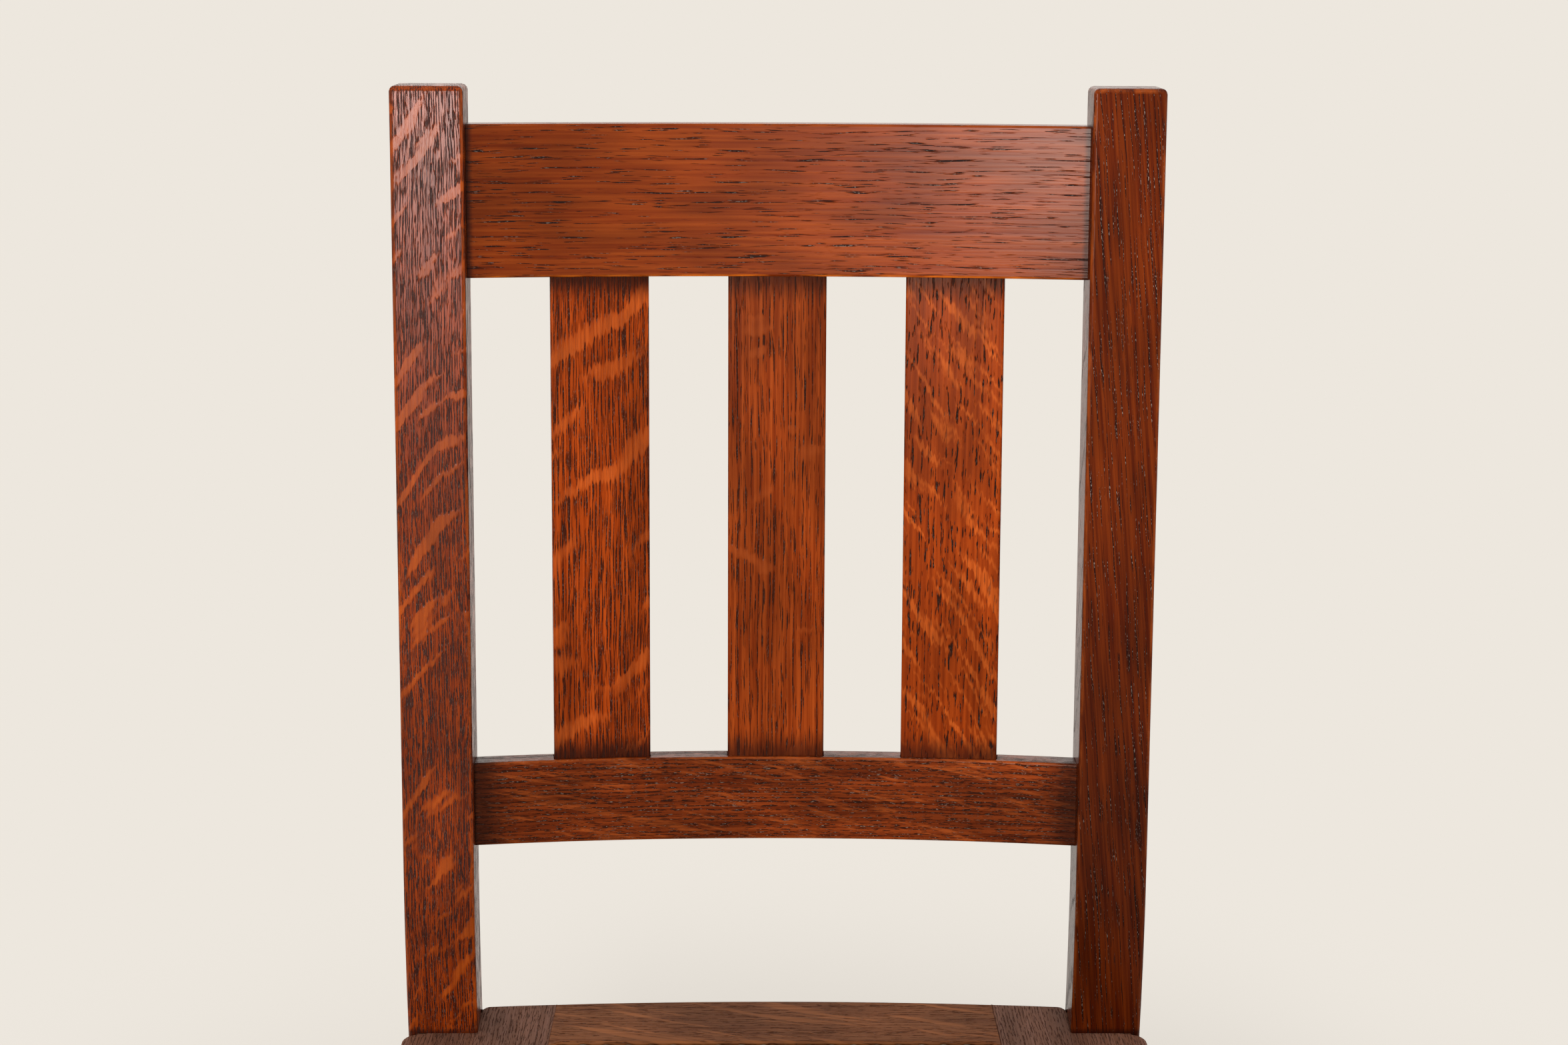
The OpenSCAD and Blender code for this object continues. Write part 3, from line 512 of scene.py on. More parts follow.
# Right post: redder and darker, few flecks, wide years with thin broken lines and old wax in them painted pale as
# glints
RIGHT_POST_OAK = OakFinish("fumed_oak_right_post", dark="#4c1503", light="#722c08", fleck="#7c3409", ring_pitch=4.4,
                           band=0.2, crowding=0.16, pore_share=0.3, pore_length=20, pore_width=0.55,
                           fleck_share=-0.6, ring_shade=0.4, lean=-5, low_shade=0.5, wax_glint_share=0.65, foot=-260,
                           shine="#fff0e4")
# Crest rail: bright red brown with broken horizontal pores, its lower edge rubbed to orange
CREST_OAK = OakFinish("fumed_oak_crest", dark="#6c2104", light="#984313", pore="#1c0604", fleck="#a9501c",
                      ring_pitch=5.6, band=0.3, crowding=0.11, pore_share=0.26, pore_length=14, pore_width=0.6,
                      fleck_share=-0.6, pore_strength=1.0, ring_shade=0.08, streak=0.6, blotch=0.24, low_shade=0.37,
                      worn="#d2691a", half_span=162, glaze_shade_reach=3, wax_glint_share=0.4, specular=0.09, shine="#fff4ea")
# Slats: wide bright ribbons on the left one, straight lines on the middle one, short pores on the right one
LEFT_SLAT_OAK = OakFinish("fumed_oak_left_slat", dark="#7a2904", light="#a03f0e", fleck="#ac4c19", ring_pitch=1.9,
                          pore_length=14, pore_width=0.5, pore_share=0.56, fleck_share=0.36, fleck_thickness=13,
                          fleck_reach=70, fleck_rise=36, fleck_pitch=34, fleck_rhythm=0.09, fleck_clear=0.75,
                          teeth=2.5, half_span=130.5, glaze_shade_reach=14, glaze_shade_depth=0.9)
MIDDLE_SLAT_OAK = OakFinish("fumed_oak_middle_slat", dark="#6d2404", light="#963f12", fleck="#9c4519", ring_pitch=3.3,
                            band=0.35, crowding=0.16, pore_length=14, pore_width=0.65, pore_share=0.34,
                            fleck_share=0.1, fleck_thickness=14, fleck_reach=26, fleck_rise=0, fleck_strength=0.7,
                            half_span=130.5, glaze_shade_reach=14)
RIGHT_SLAT_OAK = OakFinish("fumed_oak_right_slat", dark="#722503", light="#9a3c0b", fleck="#ba551c", pore="#1f0804",
                           ring_pitch=4.4, band=0.3, crowding=0.12, pore_length=8, pore_width=0.95, pore_share=0.34,
                           pore_strength=1.0, lean=1, ring_shade=0.15, fleck_share=0.46, fleck_thickness=4,
                           fleck_reach=40, fleck_rise=-54, fleck_strength=0.75, fleck_clear=0.5, fleck_edge=0.07,
                           fleck_pitch=18, fleck_rhythm=0.04, teeth=2.0, streak=0.8, half_span=130.5,
                           glaze_shade_reach=14)
# Lower rail: dark red brown with long faint ribbons that fall to the right
LOWER_RAIL_OAK = OakFinish("fumed_oak_lower_rail", dark="#581d05", light="#853712", fleck="#a04a1c", ring_pitch=2.6,
                           pore_length=5, pore_width=0.5, pore_share=0.42, fleck_share=0.44, fleck_thickness=2.6,
                           fleck_reach=34, fleck_rise=104, fleck_strength=0.7, fleck_clear=0.4, fleck_edge=0.08,
                           wax_glint="#a08878", wax_glint_share=0.45, low_shade=0.3, half_span=162, glaze_shade_reach=20,
                           specular=0.1)
# Seat boards: duller and browner, with long slanting flecks
SEAT_OAK = OakFinish("fumed_oak_seat", dark="#60351d", light="#774a2d", fleck="#8f5631", worn="#8a5236",
                     fleck_share=0.36, fleck_thickness=3.6, fleck_reach=60, fleck_rise=106, fleck_strength=0.62,
                     ring_pitch=2.2, pore_share=0.35, pore_length=6, pore_strength=0.6, roughness=0.5,
                     specular=0.05, streak=0.7)
SIDE_BOARD_OAK = OakFinish("fumed_oak_seat_sides", dark="#613f2f", light="#735042", fleck="#754b3a", worn="#8a5236",
                           fleck_share=-0.4, ring_pitch=1.8, pore_share=0.38, pore_length=5, pore_strength=0.6,
                           roughness=0.5, specular=0.05, streak=0.7)
# Legs, aprons and stretchers
BASE_OAK = OakFinish("fumed_oak_base", fleck_share=0.3, fleck_thickness=12, fleck_reach=34, ring_pitch=2.4)
# Runners: darkest, rubbed bright where they meet the floor
RUNNER_OAK = OakFinish("fumed_oak_runners", dark="#421304", light="#6b2a0a", fleck="#87370c", ring_pitch=3,
                       fleck_share=0.2, fleck_thickness=14, fleck_reach=40, roughness=0.4)
# Blocks and cleats under the seat never had the finish: dry oak that has gone brown with age
BARE_OAK = OakFinish("bare_oak", dark="#8a6a45", light="#b08b5e", pore="#57402a", fleck="#bd9c6e", worn="#b8966a",
                     wax_glint="#b49c7c", roughness=0.75, fleck_share=0.25, ring_pitch=2.6, pore_strength=0.6)
# Panel under the pad: a thin board of close plain wood, dry and brown at the edges
PANEL_BOARD = OakFinish("bare_panel_board", dark="#93724c", light="#b59163", pore="#7b5c3c", fleck="#b59163",
                        worn="#b59163", wax_glint="#a88a62", roughness=0.8, fleck_share=-0.4, ring_pitch=5,
                        pore_share=0.1, pore_strength=0.4, grain=Grain.ACROSS_CHAIR)
# Pins and dowels: turned oak, end grain showing on the runners' sides
PIN_OAK = OakFinish("oak_pins", dark="#5a2c15", light="#8a4a24", fleck_share=-0.2, ring_pitch=1.4,
                    grain=Grain.ACROSS_CHAIR)


@dataclass(frozen=True)
class TapestryFinish:
    """Wool tapestry with a short rough nap, woven in a small figure that has faded.

    From a little way off it is near black green with flecks of many dull colours. Sizes in millimetres.
    """

    name: str = "wool_tapestry"
    ground: str = "#0f1312"
    ground_light: str = "#1f2623"
    nap_sheen: str = "#8d9488"
    yarn_pitch: float = 1.3
    ruffle: float = 1.6
    figure_pitch: float = 38.0
    nap_height: float = 0.7
    ruffles_per_mm: float = 0.6
    fading_per_mm: float = 0.045
    nap_per_mm: float = 2.6
    yarns: tuple[tuple[float, str], ...] = (
        (0.0, "#47543a"), (0.22, "#6d6a3c"), (0.4, "#8a6a30"), (0.54, "#9a5a34"), (0.66, "#8c4a4a"),
        (0.78, "#86705f"), (0.9, "#958d70"))

    def build(self) -> bpy.types.Material:
        """Makes the material, on Object coordinates.

        Returns:
            The material.
        """
        material, tree = new_material(self.name)
        place = millimetres(tree)
        rough = add_node(tree, "ShaderNodeTexNoise", {
            "Vector": place, "Scale": self.ruffles_per_mm, "Detail": 2.0}, "Color")
        ruffled = add_node(tree, "ShaderNodeVectorMath", {
            0: rough, 1: (self.ruffle,) * 3, 2: place}, operation="MULTIPLY_ADD")
        cell = add_node(tree, "ShaderNodeTexVoronoi", {"Vector": ruffled, "Scale": 1 / self.yarn_pitch}, "Color")
        bump = add_node(tree, "ShaderNodeTexVoronoi", {"Vector": ruffled, "Scale": 1 / self.yarn_pitch}, "Distance")
        split = tree.nodes.new("ShaderNodeSeparateColor")
        tree.links.new(cell, split.inputs[0])
        pick, chance, tone = split.outputs

        # Small lozenges: two slanting waves, drawn soft because the figure is worn
        turned = add_node(tree, "ShaderNodeMapping", {
            "Vector": ruffled, "Rotation": (0, 0, math.radians(45)),
            "Scale": (self.figure_pitch,) * 3}, vector_type="TEXTURE")
        lozenge = tree.nodes.new("ShaderNodeSeparateXYZ")
        tree.links.new(turned, lozenge.inputs[0])
        waves = [add_node(tree, "ShaderNodeMath", {0: side, 1: 0.5}, operation="PINGPONG")
                 for side in lozenge.outputs[:2]]
        meet = add_node(tree, "ShaderNodeMath", {0: waves[0], 1: waves[1]}, operation="MINIMUM")
        figure = add_node(tree, "ShaderNodeMapRange", {
            "Value": meet, "From Min": 0.05, "From Max": 0.3, "To Min": 0.28, "To Max": 0.03})
        worn = add_node(tree, "ShaderNodeTexNoise", {"Vector": place, "Scale": self.fading_per_mm, "Detail": 2.0})
        odds = add_node(tree, "ShaderNodeMath", {0: worn, 1: 0.2, 2: figure}, operation="MULTIPLY_ADD")
        shown = add_node(tree, "ShaderNodeMath", {0: chance, 1: odds}, operation="LESS_THAN")
        half = add_node(tree, "ShaderNodeMath", {0: shown, 1: 0.62}, operation="MULTIPLY")

        ramp = tree.nodes.new("ShaderNodeValToRGB")
        ramp.color_ramp.interpolation = "CONSTANT"
        stops = ramp.color_ramp.elements
        stops.remove(stops[1])
        stops[0].position, stops[0].color = self.yarns[0][0], linear(self.yarns[0][1])
        for position, code in self.yarns[1:]:
            stops.new(position).color = linear(code)
        tree.links.new(pick, ramp.inputs[0])
        ground = add_node(tree, "ShaderNodeMix", {
            "Factor": tone, 6: linear(self.ground), 7: linear(self.ground_light)}, 2, data_type="RGBA")
        colour = add_node(tree, "ShaderNodeMix", {"Factor": half, 6: ground, 7: ramp.outputs[0]}, 2, data_type="RGBA")
        nap = add_node(tree, "ShaderNodeTexNoise", {"Vector": place, "Scale": self.nap_per_mm, "Detail": 3.0})
        height = add_node(tree, "ShaderNodeMath", {0: nap, 1: 0.6, 2: bump}, operation="MULTIPLY_ADD")
        relief = add_node(tree, "ShaderNodeBump", {"Height": height, "Strength": 0.8, "Distance": self.nap_height * MM})
        surface = add_node(tree, "ShaderNodeBsdfPrincipled", {
            "Base Color": colour, "Roughness": 0.95, "Normal": relief, "Sheen Weight": 0.1, "Sheen Roughness": 0.5,
            "Sheen Tint": linear(self.nap_sheen), "Specular IOR Level": 0.2})
        add_node(tree, "ShaderNodeOutputMaterial", {"Surface": surface})
        return material


@dataclass(frozen=True)
class GimpFinish:
    """Woven cotton gimp, olive black with age, its cords catching a little light. Sizes in millimetres."""

    name: str = "cotton_gimp"
    low: str = "#121310"
    high: str = "#2e2d22"
    thread: float = 0.5

    def build(self) -> bpy.types.Material:
        """Makes the material, on Object coordinates.

        Returns:
            The material.
        """
        material, tree = new_material(self.name)
        place = millimetres(tree)
        thread = add_node(tree, "ShaderNodeTexVoronoi", {"Vector": place, "Scale": 1 / self.thread}, "Distance")
        dirt = add_node(tree, "ShaderNodeTexNoise", {"Vector": place, "Scale": 0.15, "Detail": 3.0})
        mixed = add_node(tree, "ShaderNodeMath", {0: thread, 1: dirt}, operation="MULTIPLY")
        tone = add_node(tree, "ShaderNodeMapRange", {"Value": mixed, "From Max": 0.45})
        colour = add_node(tree, "ShaderNodeMix", {
            "Factor": tone, 6: linear(self.low), 7: linear(self.high)}, 2, data_type="RGBA")
        relief = add_node(tree, "ShaderNodeBump", {"Height": thread, "Strength": 0.5, "Distance": 0.2 * MM})
        surface = add_node(tree, "ShaderNodeBsdfPrincipled", {
            "Base Color": colour, "Roughness": 0.85, "Normal": relief, "Specular IOR Level": 0.25})
        add_node(tree, "ShaderNodeOutputMaterial", {"Surface": surface})
        return material


@dataclass(frozen=True)
class AgedMetal:
    """Stamped or turned metal that has tarnished: brighter where it is rubbed, dull and dark in its hollows.

    Sizes in millimetres.
    """

    name: str
    bright: str
    tarnish: str
    spot: float = 2.2
    roughness: float = 0.34
    metallic: float = 1.0

    def build(self) -> bpy.types.Material:
        """Makes the material, on Object coordinates.

        Returns:
            The material.
        """
        material, tree = new_material(self.name)
        place = millimetres(tree)
        spots = add_node(tree, "ShaderNodeTexNoise", {"Vector": place, "Scale": 1 / self.spot, "Detail": 4.0})
        tone = add_node(tree, "ShaderNodeMapRange", {"Value": spots, "From Min": 0.38, "From Max": 0.62})
        colour = add_node(tree, "ShaderNodeMix", {
            "Factor": tone, 6: linear(self.tarnish), 7: linear(self.bright)}, 2, data_type="RGBA")
        dull = add_node(tree, "ShaderNodeMapRange", {
            "Value": spots, "From Min": 0.35, "From Max": 0.65,
            "To Min": self.roughness + 0.25, "To Max": self.roughness})
        relief = add_node(tree, "ShaderNodeBump", {"Height": spots, "Strength": 0.4, "Distance": 0.15 * MM})
        surface = add_node(tree, "ShaderNodeBsdfPrincipled", {
            "Base Color": colour, "Roughness": dull, "Normal": relief, "Metallic": self.metallic})
        add_node(tree, "ShaderNodeOutputMaterial", {"Surface": surface})
        return material


# Upholstery nails: iron under a thin brass wash that has worn to grey olive
NAIL_BRASS = AgedMetal("tarnished_brass_nails", bright="#706850", tarnish="#2a281f")
# Slotted screws: blued steel gone grey
SCREW_STEEL = AgedMetal("grey_screw_steel", bright="#8b8985", tarnish="#4a443f", spot=3.0, roughness=0.4)


# ---------------------------------------------------------------- boards


class GrainPath(Enum):
    """How a board's grain runs: straight, along a bow in plan, or up a leg and round the bend of a rear post."""

    STRAIGHT = "straight"
    BOWED = "bowed"
    BENT = "bent"


@dataclass(frozen=True)
class BoardLay:
    """Where a board lies: its origin, and its directions along the grain, across the face and through it."""

    origin: Vector
    along: Vector
    across: Vector
    through: Vector
    path: GrainPath = GrainPath.STRAIGHT
    radius: float = 0.0

    def point(self, at: Vector) -> Vector:
        """Finds a point's coordinates in the board.

        Args:
            at: Point in the rest frame.

        Returns:
            Distance along the grain, across the face and through the board.
        """
        offset = at - self.origin
        u, v, w = offset.dot(self.along), offset.dot(self.across), offset.dot(self.through)
        if self.path is GrainPath.BOWED:
            turn = math.atan2(u, w + self.radius)
            return Vector((self.radius * turn, v, math.hypot(u, w + self.radius) - self.radius))
        if self.path is GrainPath.BENT and u > 0:
            turn = min(math.atan2(u, self.radius - w), BACK_RAKE)
            start = Vector((self.radius * math.sin(turn), self.radius * (1 - math.cos(turn))))
            rest = Vector((u, w)) - start
            return Vector((
                self.radius * turn + rest.dot(Vector((math.cos(turn), math.sin(turn)))), v,
                rest.dot(Vector((-math.sin(turn), math.cos(turn))))))
        return Vector((u, v, w))


def lay(frame_of: Matrix, order: str, origin: tuple[float, float, float] = (0, 0, 0), turn: float = 0.0,
        path: GrainPath = GrainPath.STRAIGHT, radius: float = 0.0) -> BoardLay:
    """Describes a board by the axes of the frame that it is square to.

    Args:
        frame_of: That frame.
        order: Its axes along the grain, across the face and through the board, such as "zxy".
        origin: The board's origin in that frame.
        turn: Turn in degrees about the frame's z axis.
        path: How the grain runs.
        radius: Radius of the bow or bend.

    Returns:
        The board's lay.
    """
    turned = frame_of @ Matrix.Translation(origin) @ Matrix.Rotation(math.radians(turn), 4, "Z")
    axes = dict(zip("xyz", (turned.to_3x3().col[i].normalized() for i in range(3))))
    return BoardLay(turned.to_translation(), *(axes[a] for a in order), path, radius)


@dataclass
class Joinery:
    """The CAD solids, to tell a free arris from one that meets another part. Sizes in millimetres."""

    joint_gap: float = 0.7
    joint_arris: float = 0.25
    trees: dict[str, tuple[BVHTree, Vector, Vector]] = field(default_factory=dict)

    def __post_init__(self) -> None:
        """Reads every CAD node once."""
        margin = Vector((self.joint_gap * MM,) * 3)
        for name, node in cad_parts.items():
            mesh = node.data
            tree = BVHTree.FromPolygons([v.co for v in mesh.vertices], [p.vertices for p in mesh.polygons])
            low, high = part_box(name)
            self.trees[name] = (tree, low - margin, high + margin)

    def is_free(self, at: Vector, owner: str) -> bool:
        """Tells whether no other part lies close to a point.

        Args:
            at: The point.
            owner: Node that the point belongs to.

        Returns:
            True where the air begins.
        """
        for name, (tree, low, high) in self.trees.items():
            if name == owner or any(not low[i] <= at[i] <= high[i] for i in range(3)):
                continue
            if tree.find_nearest(at, self.joint_gap * MM)[0] is not None:
                return False
        return True


@dataclass
class WoodPart:
    """A wooden part: the CAD solid with its arrises eased as a maker's plane leaves them. Sizes in millimetres."""

    node: str
    lay: BoardLay
    finish: OakFinish
    slot: str
    arris: float = 1.6
    soft_arris: float = 0.0
    soft_side: Vector | None = None
    inner_of: Vector | None = None
    middle: float = 0.0
    rub: float = 0.5
    rub_side: Vector | None = None
    facing: float = 0.9
    rub_facing: float = 0.3
    flat_angle: float = 0.25
    least_angle: float = 24.0
    segments: int = 3
    shortest: float = 1.5
    facet: float = 2.0
    cut_range: tuple[float, float] = (0.2, 1.6)

    def arris_width(self, edge: bmesh.types.BMEdge, joinery: Joinery) -> float:
        """Says how far an edge is eased.

        Args:
            edge: Edge of the merged solid.
            joinery: The other parts.

        Returns:
            Width in millimetres, 0 where the edge stays as it is.
        """
        if len(edge.link_faces) != 2 or math.degrees(edge.calc_face_angle_signed(0)) < self.least_angle:
            return 0.0
        middle = (edge.verts[0].co + edge.verts[1].co) / 2
        if not joinery.is_free(middle, self.node):
            return joinery.joint_arris
        if self.soft_side is None or all(f.normal.dot(self.soft_side) < self.facing for f in edge.link_faces):
            return self.arris
        side = min((f.normal for f in edge.link_faces), key=lambda n: n.dot(self.soft_side))
        if self.inner_of is not None and side.dot(middle - self.inner_of) < 0:
            return self.arris
        return self.soft_arris

    def eased(self, joinery: Joinery) -> bpy.types.Mesh:
        """Makes the eased mesh.

        Args:
            joinery: The other parts.

        Returns:
            The mesh, whose bevel faces have material index 1.
        """
        bm = bmesh.new()
        bm.from_mesh(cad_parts[self.node].data)
        bmesh.ops.remove_doubles(bm, verts=bm.verts, dist=WELD)
        bmesh.ops.dissolve_limit(bm, angle_limit=math.radians(self.flat_angle), verts=bm.verts, edges=bm.edges)
        bm.normal_update()
        stubs = {e for e in bm.edges if e.calc_length() < self.shortest * MM}
        # A facet's edge that ends at a stub would cross its neighbour once it is eased
        crowded = [e for e in bm.edges if e not in stubs and math.degrees(e.calc_face_angle(math.pi)) < self.facet
                   and any(other in stubs for v in e.verts for other in v.link_edges)]
        bmesh.ops.dissolve_edges(bm, edges=crowded, use_verts=True)
        bm.normal_update()
        widest = max(self.arris, self.soft_arris)
        weight = bm.edges.layers.float.new("bevel_weight_edge")
        for edge in bm.edges:
            edge[weight] = self.arris_width(edge, joinery) / widest
        rough = bpy.data.meshes.new(self.node + "_square")
        bm.to_mesh(rough)
        bm.free()
        marks = [bpy.data.materials.new(name) for name in ("left flat", "eased")]
        for mark in marks:
            rough.materials.append(mark)
        blank = new_object(self.node + "_square", rough)
        bevel = blank.modifiers.new("arrises", "BEVEL")
        bevel.limit_method = "WEIGHT"
        bevel.width = widest * MM
        bevel.segments = self.segments
        bevel.use_clamp_overlap = False
        bevel.material = 1
        bpy.context.view_layer.update()
        mesh = bpy.data.meshes.new_from_object(blank.evaluated_get(bpy.context.evaluated_depsgraph_get()))
        bpy.data.objects.remove(blank)
        bpy.data.meshes.remove(rough)
        for mark in marks:
            bpy.data.materials.remove(mark)
        return mesh

    def rubbing(self, vertex: bpy.types.MeshVertex) -> float:
        """Says how bright hands have rubbed an arris.

        Args:
            vertex: One of its vertices.

        Returns:
            The share of the worn colour, from 0 to 1.
        """
        if self.rub_side is not None and vertex.normal.dot(self.rub_side) > self.rub_facing:
            return 1.0
        return self.rub

    def build(self, joinery: Joinery, material: bpy.types.Material, rng: random.Random) -> bpy.types.Object:
        """Builds the part and stands it in for its CAD node.

        Args:
            joinery: The other parts.
            material: The finish's material.
            rng: Seeded numbers that choose where in the log the board was cut.

        Returns:
            The finished piece.
        """
        mesh = self.eased(joinery)
        flat, rounded = set(), set()
        for face in mesh.polygons:
            (rounded if face.material_index else flat).update(face.vertices)
            face.material_index = 0
        cut = Vector(rng.uniform(*self.cut_range) for _ in range(3))
        places = [self.lay.point(v.co) for v in mesh.vertices]
        start = Vector((self.middle * MM, 0, 0))
        on_arris = rounded - flat
        rubbed = [self.rubbing(v) if v.index in on_arris and joinery.is_free(v.co, self.node) else 0.0
                  for v in mesh.vertices]
        for name, offset in (("board", cut), ("local", -start)):
            attribute = mesh.attributes.new(name, "FLOAT_VECTOR", "POINT")
            attribute.data.foreach_set("vector", [x for place in places for x in place + offset])
        wear = mesh.attributes.new("wear", "FLOAT", "POINT")
        wear.data.foreach_set("value", rubbed)
        mesh.shade_smooth()
        mesh.set_sharp_from_angle(angle=math.radians(SHARP_ANGLE))
        mesh.name = self.node + "_oak"
        piece = new_object(mesh.name, mesh)
        flats = piece.modifiers.new("flats stay flat", "WEIGHTED_NORMAL")
        flats.keep_sharp = True
        hand_over(piece, material, self.slot, self.node)
        return piece


@dataclass
class Back:
    """The two rear posts, both bowed rails and the three slats. Sizes in millimetres, angles in degrees."""

    post_arris: float = 2.0
    post_top_arris: float = 3.0
    rail_arris: float = 1.4
    slat_arris: float = 1.2
    rail_radius: float = 944.3
    rail_back: float = 24.0
    slat_turn: float = 5.67
    slat_middle: float = 183.5
    post_middle: float = 260.0
    crest_rub: float = 0.15
    slat_rub: float = 0.3

    def parts(self) -> list[WoodPart]:
        """Lists the wooden parts of the back.

        Returns:
            The posts, the rails and the slats.
        """
        top = BACK_FRAME.to_3x3().col[2].normalized()
        found = []
        for side, finish in zip(SIDES, (LEFT_POST_OAK, RIGHT_POST_OAK)):
            x = SIDES[side] * (BACK_WIDTH - POST_WIDTH) / 2
            found.append(WoodPart(
                f"rear_post_{side}", lay(SEAT_FRAME, "zxy", (x, 0, 0), path=GrainPath.BENT, radius=BEND_RADIUS),
                finish, "oak_posts", self.post_arris, self.post_top_arris, top, middle=self.post_middle))
        bow = lay(BACK_FRAME, "xzy", (0, self.rail_back * MM, 0), path=GrainPath.BOWED, radius=self.rail_radius * MM)
        found.append(WoodPart(
            "crest_rail", bow, CREST_OAK, "oak_crest", self.rail_arris, rub=self.crest_rub, rub_side=-top))
        found.append(WoodPart("lower_back_rail", bow, LOWER_RAIL_OAK, "oak_lower_rail", self.rail_arris))
        for number, (name, finish) in enumerate(zip(
                ("left", "centre", "right"), (LEFT_SLAT_OAK, MIDDLE_SLAT_OAK, RIGHT_SLAT_OAK)), -1):
            found.append(WoodPart(
                f"back_slat_{name}", lay(BACK_FRAME, "zxy", turn=-number * self.slat_turn), finish, "oak_slats",
                self.slat_arris, middle=self.slat_middle, rub=self.slat_rub))
        return found


@dataclass
class SeatFrame:
    """The four boards of the seat and the cleats inside them. Sizes in millimetres, angles in degrees."""

    flare: float = 3.0
    top_arris: float = 2.2
    low_arris: float = 1.5
    cleat_arris: float = 0.8
    middle_y: float = -160.0
    rub: float = 0.15

    def parts(self) -> list[WoodPart]:
        """Lists the wooden parts of the seat.

        Returns:
            The boards and their cleats.
        """
        top = SEAT_FRAME.to_3x3().col[2].normalized()
        centre = SEAT_FRAME @ Vector((0, self.middle_y * MM, 0))
        found = []
        for name, turn, order, finish in (
                ("left", -self.flare, "yxz", SIDE_BOARD_OAK), ("right", self.flare, "yxz", SIDE_BOARD_OAK),
                ("front", 0.0, "xyz", SEAT_OAK), ("rear", 0.0, "xyz", SEAT_OAK)):
            found.append(WoodPart(
                f"seat_board_{name}", lay(SEAT_FRAME, order, turn=turn), finish, "oak_seat", self.low_arris,
                self.top_arris, top, centre, rub=self.rub))
            found.append(WoodPart(
                f"seat_cleat_{name}", lay(SEAT_FRAME, order, turn=turn), BARE_OAK, "bare_oak", self.cleat_arris))
        return found


@dataclass
class Base:
    """Front legs, aprons, corner blocks, stretchers and runners. Sizes in millimetres, angles in degrees."""

    leg_arris: float = 2.0
    bar_arris: float = 1.6
    block_arris: float = 1.0
    runner_arris: float = 3.0
    side_splay: float = 2.415
    toe: float = 2.19
    block_turn: float = 45.0

    def parts(self) -> list[WoodPart]:
        """Lists the wooden parts under the seat.

        Returns:
            The aprons, stretchers, legs, corner blocks and runners.
        """
        found = []
        for bar in ("front_apron", "rear_apron", "front_stretcher", "rear_stretcher"):
            found.append(WoodPart(bar, lay(SEAT_FRAME, "xzy"), BASE_OAK, "oak_base", self.bar_arris))
        for side, way in SIDES.items():
            found.append(WoodPart(
                f"front_leg_{side}", lay(SEAT_FRAME, "zxy"), BASE_OAK, "oak_base", self.leg_arris))
            for bar in ("side_apron", "side_stretcher"):
                found.append(WoodPart(
                    f"{bar}_{side}", lay(SEAT_FRAME, "yzx", turn=way * self.side_splay), BASE_OAK, "oak_base",
                    self.bar_arris))
            for end, turn in (("front", -self.block_turn), ("rear", self.block_turn)):
                found.append(WoodPart(
                    f"corner_block_{end}_{side}", lay(SEAT_FRAME, "xyz", turn=way * turn), BARE_OAK, "bare_oak",
                    self.block_arris))
            found.append(WoodPart(
                f"runner_{side}", lay(Matrix.Identity(4), "yzx", turn=way * self.toe), RUNNER_OAK, "oak_runners",
                self.runner_arris))
        return found


# ---------------------------------------------------------------- upholstery


